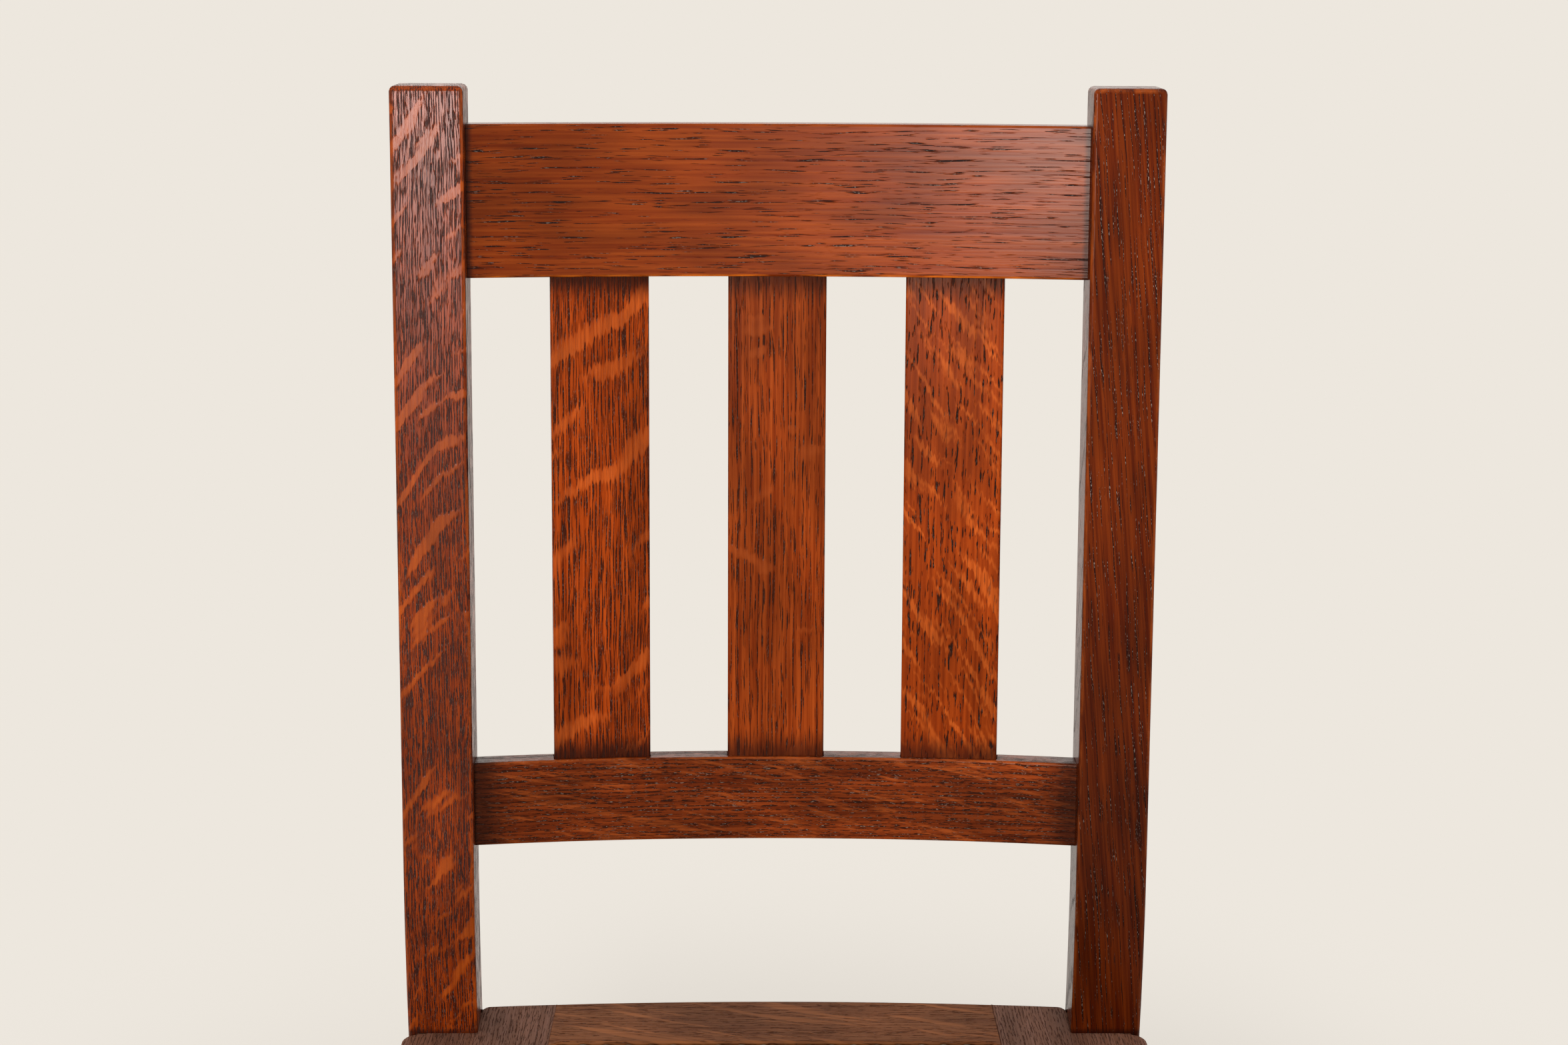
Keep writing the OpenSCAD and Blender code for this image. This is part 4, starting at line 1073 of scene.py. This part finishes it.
@dataclass
class Upholstery:
    """The stuffed pad, the gimp braid round it and the row of nails. Sizes in millimetres, in the seat's frame."""

    back_y: float = -9.0
    front_y: float = -325.0
    half_width: float = 122.389
    flare: float = math.tan(math.radians(3))
    drop: float = 3.0
    gimp_thickness: float = 1.2
    gimp_width: float = 12.0
    gimp_outer_gap: float = 0.5
    gimp_inner_gap: float = 0.3
    gimp_rib: float = 2.6
    gimp_rib_height: float = 0.22
    gimp_slant: float = 0.9
    gimp_edge_share: float = 0.45
    gimp_crown_share: float = 0.35
    gimp_squareness: int = 6
    gimp_floor: float = 0.02
    gimp_columns: int = 10
    points_per_rib: int = 4
    nail_inset: float = 7.0
    nail_pitch: float = 12.5
    nail_radius: float = 5.0
    nail_height: float = 3.0
    nail_facets: int = 16
    nail_tilt: float = 3.0
    nail_stray: float = 0.3
    nail_sizes: tuple[float, float] = (0.96, 1.02)
    shank: float = 10 / 7
    shank_length: float = 6.4
    shank_middle: float = -3.4
    pad_voxel: float = 5.0
    pad_shrink: float = 0.985
    pad_swell: float = 6.0
    pad_frames: int = 20
    pad_pressure: float = 4.0
    pad_gap: float = 0.3
    pull_depth: float = 1.1
    pull_reach: float = 16.0
    dent_depth: float = 0.9
    dent_size: float = 42.0
    dent_from: float = 4.0
    dent_slice: float = 3.1
    hem_gap: float = 0.1
    hem_width: float = 14.0
    hem_thickness: float = 0.8
    smooth_angle: float = 50.0

    def corners(self, inset: float) -> list[Vector]:
        """Finds the corners of the inset, drawn in by a distance.

        Args:
            inset: The distance in millimetres.

        Returns:
            The four corners in the plane of the seat, front left first.
        """
        side = inset / math.cos(math.atan(self.flare))
        half = [self.half_width - y * self.flare - side for y in (self.front_y + inset, self.back_y - inset)]
        low, high = self.front_y + inset, self.back_y - inset
        return [Vector((-half[0], low)), Vector((half[0], low)), Vector((half[1], high)), Vector((-half[1], high))]

    def nail_places(self) -> list[Vector]:
        """Finds the places of the nails: one at each corner and even rows between.

        Returns:
            The places in the plane of the seat.
        """
        ring = self.corners(self.nail_inset)
        places = []
        for start, end in zip(ring, ring[1:] + ring[:1]):
            count = round((end - start).length / self.nail_pitch)
            places += [start.lerp(end, i / count) for i in range(count)]
        return places

    def build_pad(self, material: bpy.types.Material) -> bpy.types.Object:
        """Inflates the pad as cloth over its stuffing and pulls its edge in at the nails.

        Args:
            material: The tapestry.

        Returns:
            The pad.
        """
        bm = bmesh.new()
        bm.from_mesh(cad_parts["seat_pad"].data)
        bmesh.ops.remove_doubles(bm, verts=bm.verts, dist=WELD)
        low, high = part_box("seat_pad")
        centre = (low + high) / 2
        bmesh.ops.scale(bm, vec=(self.pad_shrink,) * 3, space=Matrix.Translation(-centre), verts=bm.verts)
        pad = bmesh_object("tapestry_pad", bm)
        remesh = pad.modifiers.new("even weave", "REMESH")
        remesh.mode = "VOXEL"
        remesh.voxel_size = self.pad_voxel * MM
        self.bake(pad)
        self.swell(pad)
        self.stretch(pad)
        self.pull_in(pad)
        self.lay_hem(pad)
        pad.data.shade_smooth()
        finer = pad.modifiers.new("smooth cloth", "SUBSURF")
        finer.levels = finer.render_levels = 1
        hand_over(pad, material, "tapestry", "seat_pad")
        return pad

    @staticmethod
    def bake(piece: bpy.types.Object) -> None:
        """Makes a piece's modifiers part of its mesh.

        Args:
            piece: The piece.
        """
        bpy.context.view_layer.update()
        made = bpy.data.meshes.new_from_object(piece.evaluated_get(bpy.context.evaluated_depsgraph_get()))
        piece.modifiers.clear()
        piece.data = made

    def swell(self, pad: bpy.types.Object) -> None:
        """Blows the pad up as cloth, held along its foot, and caps how far any point moves.

        Args:
            pad: The pad, remeshed evenly.
        """
        flat = SEAT_FRAME.inverted()
        foot = [v.index for v in pad.data.vertices if (flat @ v.co).z < (self.pad_voxel - self.drop) * MM]
        held = pad.vertex_groups.new(name="tacked")
        held.add(foot, 1.0, "REPLACE")
        before = [v.co.copy() for v in pad.data.vertices]
        cloth = pad.modifiers.new("stuffing", "CLOTH")
        cloth.settings.use_pressure = True
        cloth.settings.uniform_pressure_force = self.pad_pressure
        cloth.settings.effector_weights.gravity = 0
        cloth.settings.vertex_group_mass = held.name
        for number in range(1, self.pad_frames + 1):
            bpy.context.scene.frame_set(number)
        self.bake(pad)
        bpy.context.scene.frame_set(1)
        for vertex, start in zip(pad.data.vertices, before):
            moved = vertex.co - start
            if moved.length > self.pad_swell * MM:
                vertex.co = start + moved.normalized() * self.pad_swell * MM

    def stretch(self, pad: bpy.types.Object) -> None:
        """Draws the pad's foot out to the braid on all four sides.

        Args:
            pad: The swollen pad.
        """
        edge = self.gimp_width + self.pad_gap
        front, back = self.front_y + edge, self.back_y - edge
        flat = SEAT_FRAME.inverted()
        places = [flat @ v.co / MM for v in pad.data.vertices]
        low, high = min(at.y for at in places), max(at.y for at in places)
        for at in places:
            at.y = front + (at.y - low) * (back - front) / (high - low)
        side = edge / math.cos(math.atan(self.flare))
        widest = max(abs(at.x) / (self.half_width - at.y * self.flare - side) for at in places)
        for vertex, at in zip(pad.data.vertices, places):
            vertex.co = SEAT_FRAME @ (Vector((at.x / widest, at.y, at.z)) * MM)

    def lay_hem(self, pad: bpy.types.Object) -> None:
        """Adds the cloth's flat margin, which lies on the panel between the stuffing and the braid.

        Args:
            pad: The pad, to whose mesh the margin is joined.
        """
        bm = bmesh.new()
        top = self.hem_thickness - self.drop
        corners = [bm.verts.new((c.x, c.y, top)) for c in self.corners(self.gimp_width + self.hem_gap)]
        middle = bmesh.ops.contextual_create(bm, geom=corners)["faces"]
        margin = bmesh.ops.inset_region(
            bm, faces=middle, thickness=self.hem_width, use_boundary=True, use_even_offset=True)["faces"]
        bmesh.ops.delete(bm, geom=[f for f in bm.faces if f not in margin], context="FACES")
        bm.normal_update()
        bmesh.ops.solidify(bm, geom=bm.faces[:], thickness=self.hem_thickness - self.hem_gap)
        bmesh.ops.recalc_face_normals(bm, faces=bm.faces)
        bmesh.ops.transform(bm, matrix=SEAT_FRAME @ Matrix.Scale(MM, 4), verts=bm.verts)
        hem = bpy.data.meshes.new("hem")
        bm.to_mesh(hem)
        bm.clear()
        bm.from_mesh(pad.data)
        known = set(bm.edges)
        bm.from_mesh(hem)
        crease = bm.edges.layers.float.new("crease_edge")
        for edge in bm.edges:
            edge[crease] = 0.0 if edge in known else 1.0
        bm.to_mesh(pad.data)
        bm.free()
        bpy.data.meshes.remove(hem)

    def pull_in(self, pad: bpy.types.Object) -> None:
        """Draws the cloth down at each nail, and leaves the soft dents of old stuffing in its top.

        Args:
            pad: The stretched pad.
        """
        flat = SEAT_FRAME.inverted()
        up = SEAT_FRAME.to_3x3().col[2].normalized()
        places = self.nail_places()
        for vertex in pad.data.vertices:
            at = flat @ vertex.co / MM
            near = min((at.xy - p).length for p in places) - self.nail_inset
            if at.z < 1 - self.drop or near > self.pull_reach:
                continue
            share = max(0.0, 1 - max(near, 0) / self.pull_reach) ** 2
            vertex.co -= up * share * self.pull_depth * MM
        for vertex in pad.data.vertices:
            at = flat @ vertex.co / MM
            if at.z > self.dent_from:
                dent = noise.noise(Vector((at.x / self.dent_size, at.y / self.dent_size, self.dent_slice)))
                vertex.co += up * self.dent_depth * MM * dent

    def build_gimp(self, material: bpy.types.Material) -> bpy.types.Object:
        """Weaves the braid: a flat band with slanting cords, laid round the inset.

        Args:
            material: The cotton.

        Returns:
            The braid.
        """
        ring = self.corners(self.gimp_width / 2)
        lengths = [(b - a).length for a, b in zip(ring, ring[1:] + ring[:1])]
        total = sum(lengths)
        ribs = round(total / self.gimp_rib)
        steps = int(total / (self.gimp_rib / self.points_per_rib))
        bm = bmesh.new()
        bmesh.ops.create_grid(bm, x_segments=steps, y_segments=self.gimp_columns, size=0.5)
        inner, outer = self.corners(self.gimp_width - self.gimp_inner_gap), self.corners(self.gimp_outer_gap)
        for vertex in bm.verts:
            share, side = vertex.co.x + 0.5, vertex.co.y * 2
            run = share % 1.0 * total
            for index, length in enumerate(lengths):
                if run <= length or index == len(lengths) - 1:
                    break
                run -= length
            t = min(run / length, 1.0)
            after = (index + 1) % len(ring)
            middle = (inner[index].lerp(inner[after], t), outer[index].lerp(outer[after], t))
            at = middle[0].lerp(middle[1], (side + 1) / 2)
            rib = math.cos(2 * math.pi * (share * ribs + abs(side) * self.gimp_slant))
            # Full height over the middle of the band, falling away at its two edges
            body = 1 - abs(side) ** self.gimp_squareness
            height = self.gimp_thickness * (self.gimp_edge_share + self.gimp_crown_share * body)
            top = -self.drop + height + self.gimp_rib_height * rib * body
            vertex.co = SEAT_FRAME @ (Vector((at.x, at.y, top)) * MM)
        bmesh.ops.remove_doubles(bm, verts=bm.verts, dist=0.02 * MM)
        bmesh.ops.recalc_face_normals(bm, faces=bm.faces)
        up = SEAT_FRAME.to_3x3().col[2]
        if sum(f.normal.dot(up) for f in bm.faces) < 0:
            bmesh.ops.reverse_faces(bm, faces=bm.faces)
        rim = bmesh.ops.extrude_face_region(bm, geom=bm.faces[:] + bm.edges[:] + bm.verts[:])
        floor_z = -self.drop + self.gimp_floor
        for item in rim["geom"]:
            if isinstance(item, bmesh.types.BMVert):
                at = SEAT_FRAME.inverted() @ item.co
                at.z = floor_z * MM
                item.co = SEAT_FRAME @ at
        bmesh.ops.recalc_face_normals(bm, faces=bm.faces)
        gimp = bmesh_object("gimp_braid", bm, self.smooth_angle)
        hand_over(gimp, material, "gimp", "seat_gimp")
        return gimp

    def build_nails(self, material: bpy.types.Material, rng: random.Random) -> bpy.types.Object:
        """Stamps the domed nails, each driven a little differently.

        Args:
            material: The tarnished brass.
            rng: Seeded numbers for their tilt and size.

        Returns:
            All the nails as one piece.
        """
        # Half the section of a head, as shares of its radius and height, from the rim up to the crown
        profile = ((0.93, -0.02), (1.0, 0.1), (0.95, 0.34), (0.76, 0.68), (0.46, 0.91), (0.0, 1.0))
        bm = bmesh.new()
        for place in self.nail_places():
            verts = [bm.verts.new((r * self.nail_radius, 0, z * self.nail_height)) for r, z in profile]
            edges = [bm.edges.new(pair) for pair in zip(verts, verts[1:])]
            bmesh.ops.spin(bm, geom=verts + edges, cent=(0, 0, 0), axis=(0, 0, 1), dvec=(0, 0, 0),
                           angle=2 * math.pi, steps=self.nail_facets, use_merge=True)
            head = [v for v in bm.verts if v.is_valid and not v.tag]
            bmesh.ops.remove_doubles(bm, verts=head, dist=0.02)
            rim = [e for e in bm.edges if e.is_boundary]
            bmesh.ops.contextual_create(bm, geom=rim)
            post = bmesh.ops.create_cube(bm, size=1.0)["verts"]
            bmesh.ops.scale(bm, vec=(self.shank, self.shank, self.shank_length), verts=post)
            bmesh.ops.translate(bm, vec=(0, 0, self.shank_middle), verts=post)
            new = [v for v in bm.verts if not v.tag]
            tilts = [math.radians(rng.uniform(-self.nail_tilt, self.nail_tilt)) for _ in range(2)]
            tilt = Matrix.Rotation(tilts[0], 4, "X") @ Matrix.Rotation(tilts[1], 4, "Y")
            stray = [rng.uniform(-self.nail_stray, self.nail_stray) for _ in range(2)]
            spot = Vector((place.x + stray[0], place.y + stray[1], self.gimp_thickness - self.drop))
            size = rng.uniform(*self.nail_sizes)
            bmesh.ops.transform(bm, matrix=Matrix.Translation(spot) @ tilt @ Matrix.Scale(size, 4), verts=new)
            for vertex in new:
                vertex.tag = True
        bmesh.ops.recalc_face_normals(bm, faces=bm.faces)
        bmesh.ops.transform(bm, matrix=SEAT_FRAME @ Matrix.Scale(MM, 4), verts=bm.verts)
        nails = bmesh_object("domed_nails", bm, self.smooth_angle)
        hand_over(nails, material, "aged_nails", "seat_nails")
        return nails


@dataclass
class Screws:
    """Slotted round head screws of the corner blocks and the seat. Sizes in millimetres."""

    head_radius: float = 4.0
    head_height: float = 2.5
    shank_radius: float = 2.0
    slot_width: float = 1.0
    slot_depth: float = 1.2
    dome_share: float = 0.93
    tip_share: float = 0.5
    head_segments: int = 24
    dome_rings: int = 12
    shank_segments: int = 16
    flat_angle: float = 0.5
    smooth_angle: float = 40.0
    fewest_facets: int = 9
    slack: float = 0.1
    cut_slack: float = 0.001

    def is_round_end(self, face: bmesh.types.BMFace) -> bool:
        """Tells a flat round end of a screw, as wide as its shank, from its other faces.

        Args:
            face: Face of the CAD node.

        Returns:
            Whether all its corners lie one shank radius from its middle.
        """
        middle = face.calc_center_median()
        return len(face.verts) >= self.fewest_facets and all(
            abs((v.co - middle).length / MM - self.shank_radius) < self.slack for v in face.verts)

    def heads(self, node: str) -> list[tuple[Vector, Vector, float]]:
        """Finds each screw in its CAD node: its head is the round end with the wide rim close behind it.

        Args:
            node: The node with the screws.

        Returns:
            The middle of each head's flat top, the way that it faces, and the screw's whole length.
        """
        bm = bmesh.new()
        bm.from_mesh(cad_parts[node].data)
        bmesh.ops.remove_doubles(bm, verts=bm.verts, dist=WELD)
        bmesh.ops.dissolve_limit(bm, angle_limit=math.radians(self.flat_angle), verts=bm.verts, edges=bm.edges)
        bm.normal_update()
        found = []
        for middle, way in [(f.calc_center_median(), f.normal.copy()) for f in bm.faces if self.is_round_end(f)]:
            depths = []
            has_rim = False
            for vertex in bm.verts:
                depth = (middle - vertex.co).dot(way)
                from_axis = (vertex.co - middle + way * depth).length
                if from_axis < (self.head_radius + self.slack) * MM:
                    depths.append(depth)
                    has_rim |= (from_axis > (self.head_radius - self.slack) * MM
                                and abs(depth / MM - self.head_height) < self.slack)
            if has_rim:
                found.append((middle, way, max(depths)))
        bm.free()
        LOG.info("%s: %d screws found", node, len(found))
        return found

    def half_dome(self, bm: bmesh.types.BMesh, side: int, low: float) -> None:
        """Adds the half of a head's dome that lies on one side of the slot.

        Args:
            bm: Mesh that takes it.
            side: Side of the slot, -1 or 1.
            low: Height of the slot's floor over the underside of the head.
        """
        others = set(bm.verts)
        bmesh.ops.create_uvsphere(bm, u_segments=self.head_segments, v_segments=self.dome_rings, radius=1.0)
        dome = [v for v in bm.verts if v not in others]
        radius = self.head_radius * self.dome_share
        bmesh.ops.scale(bm, vec=(radius, radius, self.slot_depth), verts=dome)
        for normal, depth in (((0, 0, -1), 0.0), ((0, -side, 0), self.slot_width / 2)):
            part = [g for g in (*bm.verts, *bm.edges, *bm.faces)
                    if (g in dome if isinstance(g, bmesh.types.BMVert) else all(v in dome for v in g.verts))]
            cut = bmesh.ops.bisect_plane(bm, geom=part, dist=self.cut_slack, plane_co=Vector(normal) * -depth,
                                         plane_no=normal, clear_outer=True)
            edges = [g for g in cut["geom_cut"] if isinstance(g, bmesh.types.BMEdge)]
            bmesh.ops.contextual_create(bm, geom=edges)
            dome = [v for v in bm.verts if v.is_valid and v not in others]
        bmesh.ops.translate(bm, vec=(0, 0, low), verts=dome)

    def build(self, node: str, material: bpy.types.Material, rng: random.Random) -> bpy.types.Object:
        """Turns the screws of one node.

        Args:
            node: CAD node that they stand for.
            material: The steel.
            rng: Seeded numbers for the way each slot points.

        Returns:
            The screws as one piece.
        """
        bm = bmesh.new()
        for middle, way, length in self.heads(node):
            done = set(bm.verts)
            low = self.head_height - self.slot_depth
            base = bmesh.ops.create_cone(
                bm, cap_ends=True, segments=self.head_segments, radius1=self.head_radius,
                radius2=self.head_radius * self.dome_share, depth=low)["verts"]
            bmesh.ops.translate(bm, vec=(0, 0, low / 2), verts=base)
            for side in (-1, 1):
                self.half_dome(bm, side, low)
            shank = bmesh.ops.create_cone(
                bm, cap_ends=True, segments=self.shank_segments, radius1=self.shank_radius * self.tip_share,
                radius2=self.shank_radius, depth=length / MM - self.head_height)["verts"]
            bmesh.ops.translate(bm, vec=(0, 0, (self.head_height - length / MM) / 2), verts=shank)
            new = [v for v in bm.verts if v not in done]
            turn = Matrix.Rotation(rng.uniform(0, math.pi), 4, "Z")
            aim = way.to_track_quat("Z", "Y").to_matrix().to_4x4()
            seat = Matrix.Translation(middle - way * self.head_height * MM)
            bmesh.ops.transform(bm, matrix=seat @ aim @ turn @ Matrix.Scale(MM, 4), verts=new)
        screws = bmesh_object(node + "_slotted", bm, self.smooth_angle)
        hand_over(screws, material, "screw_steel", node)
        return screws


# ---------------------------------------------------------------- studio


@dataclass
class Studio:
    """Pale floor, soft lights and the camera where the photograph was taken from.

    Sizes are metres, light is in watts, and the lens and its frame are millimetres.
    """

    floor_colour: str = "#ede7de"
    floor_size: float = 60.0
    fade: tuple[float, float] = (0.2, 0.95)
    world_colour: str = "#f4f2ee"
    world_strength: float = 0.42
    aim: tuple[float, float, float] = (0.0, 0.15, 0.65)
    lens: float = 70.24
    frame_width: float = 36.0
    sight: tuple[float, float] = (0.05, 100.0)
    eye: tuple[float, float, float] = (-0.01722, -1.2769, 1.34107)
    right: tuple[float, float, float] = (0.99991, -0.0107, 0.00767)
    up: tuple[float, float, float] = (-0.00225, 0.43525, 0.90031)

    @staticmethod
    def seen(tree: bpy.types.NodeTree) -> bpy.types.NodeSocket:
        """Tells rays that show the background from rays that only carry light.

        Args:
            tree: Node tree that takes the test.

        Returns:
            1 where the camera, a gloss or a glass sees the surface, 0 where it only gets light.
        """
        path = tree.nodes.new("ShaderNodeLightPath")
        either = add_node(tree, "ShaderNodeMath", {0: path.outputs["Is Camera Ray"], 1: path.outputs["Is Glossy Ray"]},
                          operation="MAXIMUM")
        return add_node(
            tree, "ShaderNodeMath", {0: either, 1: path.outputs["Is Transmission Ray"]}, operation="MAXIMUM")

    def build_floor(self) -> None:
        """Lays the floor: it takes the chair's shadow, runs out into the plain background, and is clear from below."""
        bm = bmesh.new()
        bmesh.ops.create_grid(bm, x_segments=1, y_segments=1, size=self.floor_size / 2)
        floor = bmesh_object("studio_floor", bm)
        material, tree = new_material("matt_floor")
        paper = add_node(tree, "ShaderNodeBsdfPrincipled", {
            "Base Color": linear(self.floor_colour), "Roughness": 0.9, "Specular IOR Level": 0.1})
        pale = add_node(tree, "ShaderNodeEmission", {"Color": linear(self.floor_colour), "Strength": 1.0})
        away = add_node(tree, "ShaderNodeVectorMath", {
            0: add_node(tree, "ShaderNodeTexCoord", out="Object")}, "Value", operation="LENGTH")
        far = add_node(tree, "ShaderNodeMapRange", {
            "Value": away, "From Min": self.fade[0], "From Max": self.fade[1]}, interpolation_type="SMOOTHERSTEP")
        share = add_node(tree, "ShaderNodeMath", {0: far, 1: self.seen(tree)}, operation="MULTIPLY")
        ground = add_node(tree, "ShaderNodeMixShader", {0: share, 1: paper, 2: pale})
        clear = add_node(tree, "ShaderNodeBsdfTransparent")
        under = add_node(tree, "ShaderNodeNewGeometry", out="Backfacing")
        surface = add_node(tree, "ShaderNodeMixShader", {0: under, 1: ground, 2: clear})
        add_node(tree, "ShaderNodeOutputMaterial", {"Surface": surface})
        floor.data.materials.append(material)

    def build_world(self) -> None:
        """Makes the even light of the room; beyond the floor its colour goes on."""
        world = bpy.data.worlds.new("even_room")
        world.use_nodes = True
        tree = world.node_tree
        tree.nodes.clear()
        light = add_node(tree, "ShaderNodeBackground", {
            "Color": linear(self.world_colour), "Strength": self.world_strength})
        beyond = add_node(tree, "ShaderNodeBackground", {"Color": linear(self.floor_colour), "Strength": 1.0})
        mixed = add_node(tree, "ShaderNodeMixShader", {0: self.seen(tree), 1: light, 2: beyond})
        add_node(tree, "ShaderNodeOutputWorld", {"Surface": mixed})
        bpy.context.scene.world = world

    @staticmethod
    def build_light(name: str, at: tuple[float, float, float], to: tuple[float, float, float],
                    size: tuple[float, float], power: float) -> None:
        """Hangs a soft box.

        Args:
            name: Name of the light.
            at: Its place.
            to: Point that it faces.
            size: Width and height.
            power: Watts.
        """
        lamp = bpy.data.lights.new(name, "AREA")
        lamp.shape = "RECTANGLE"
        lamp.size, lamp.size_y = size
        lamp.energy = power
        holder = bpy.data.objects.new(name, lamp)
        holder.location = at
        holder.rotation_euler = (Vector(to) - Vector(at)).to_track_quat("-Z", "Y").to_euler()
        bpy.context.scene.collection.objects.link(holder)

    def build_camera(self) -> None:
        """Sets the camera at the photograph's place, looking down at the back and the rear of the seat."""
        data = bpy.data.cameras.new("photograph")
        data.lens = self.lens
        data.sensor_width = self.frame_width
        data.clip_start, data.clip_end = self.sight
        camera = bpy.data.objects.new("photograph", data)
        right, up = Vector(self.right), Vector(self.up)
        back = right.cross(up)
        turn = Matrix((right, up, back)).transposed().to_4x4()
        camera.matrix_world = Matrix.Translation(self.eye) @ turn
        bpy.context.scene.collection.objects.link(camera)
        bpy.context.scene.camera = camera

    def build(self) -> None:
        """Builds the whole studio."""
        self.build_floor()
        self.build_world()
        # The window is small and stands where the left post's top and the crest rail mirror it
        self.build_light("window_left", (-0.46, -2.2, 1.5), self.aim, (0.36, 0.44), 38)
        self.build_light("soft_left", (-2.0, -1.1, 1.6), self.aim, (1.4, 1.4), 12)
        self.build_light("soft_right", (2.0, -1.1, 1.6), self.aim, (1.4, 1.4), 9)
        self.build_light("ceiling", (0.0, -0.2, 3.0), (0, 0.2, 0), (2.4, 2.4), 18)
        self.build_light("soft_back", (0.0, 3.2, 1.3), self.aim, (2.0, 1.4), 14)
        self.build_camera()


# ---------------------------------------------------------------- building


def dress_cad_nodes(dressing: Iterable[tuple[str, bpy.types.Material, str]]) -> None:
    """Gives CAD nodes that stay as they are a better material.

    Args:
        dressing: Each node's name, its material, and the record's slot.
    """
    for name, material, slot in dressing:
        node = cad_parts[name]
        for holder in node.material_slots:
            holder.material = material
        LOG.info("%s keeps its CAD shape, %s", name, material.name)


def main() -> None:
    """Builds the chair, then the studio round it."""
    logging.basicConfig(level=logging.INFO, format="%(name)s: %(message)s")
    bpy.context.scene.view_settings.view_transform = "Standard"
    rng = random.Random(SEED)
    joinery = Joinery()
    made: dict[str, bpy.types.Material] = {}
    for part in Back().parts() + SeatFrame().parts() + Base().parts():
        if part.finish.name not in made:
            made[part.finish.name] = part.finish.build()
        part.build(joinery, made[part.finish.name], rng)
    upholstery = Upholstery()
    upholstery.build_pad(TapestryFinish().build())
    upholstery.build_gimp(GimpFinish().build())
    upholstery.build_nails(NAIL_BRASS.build(), rng)
    screws, steel = Screws(), SCREW_STEEL.build()
    for node in ("corner_block_screws", "seat_screws"):
        screws.build(node, steel, rng)
    pins = PIN_OAK.build()
    dress_cad_nodes((
        ("seat_panel", PANEL_BOARD.build(), "panel_board"),
        ("seat_frame_dowels", pins, "hidden_dowels"),
        ("runner_pins", pins, "oak_runners")))
    Studio().build()


if __name__ == "__main__":
    main()
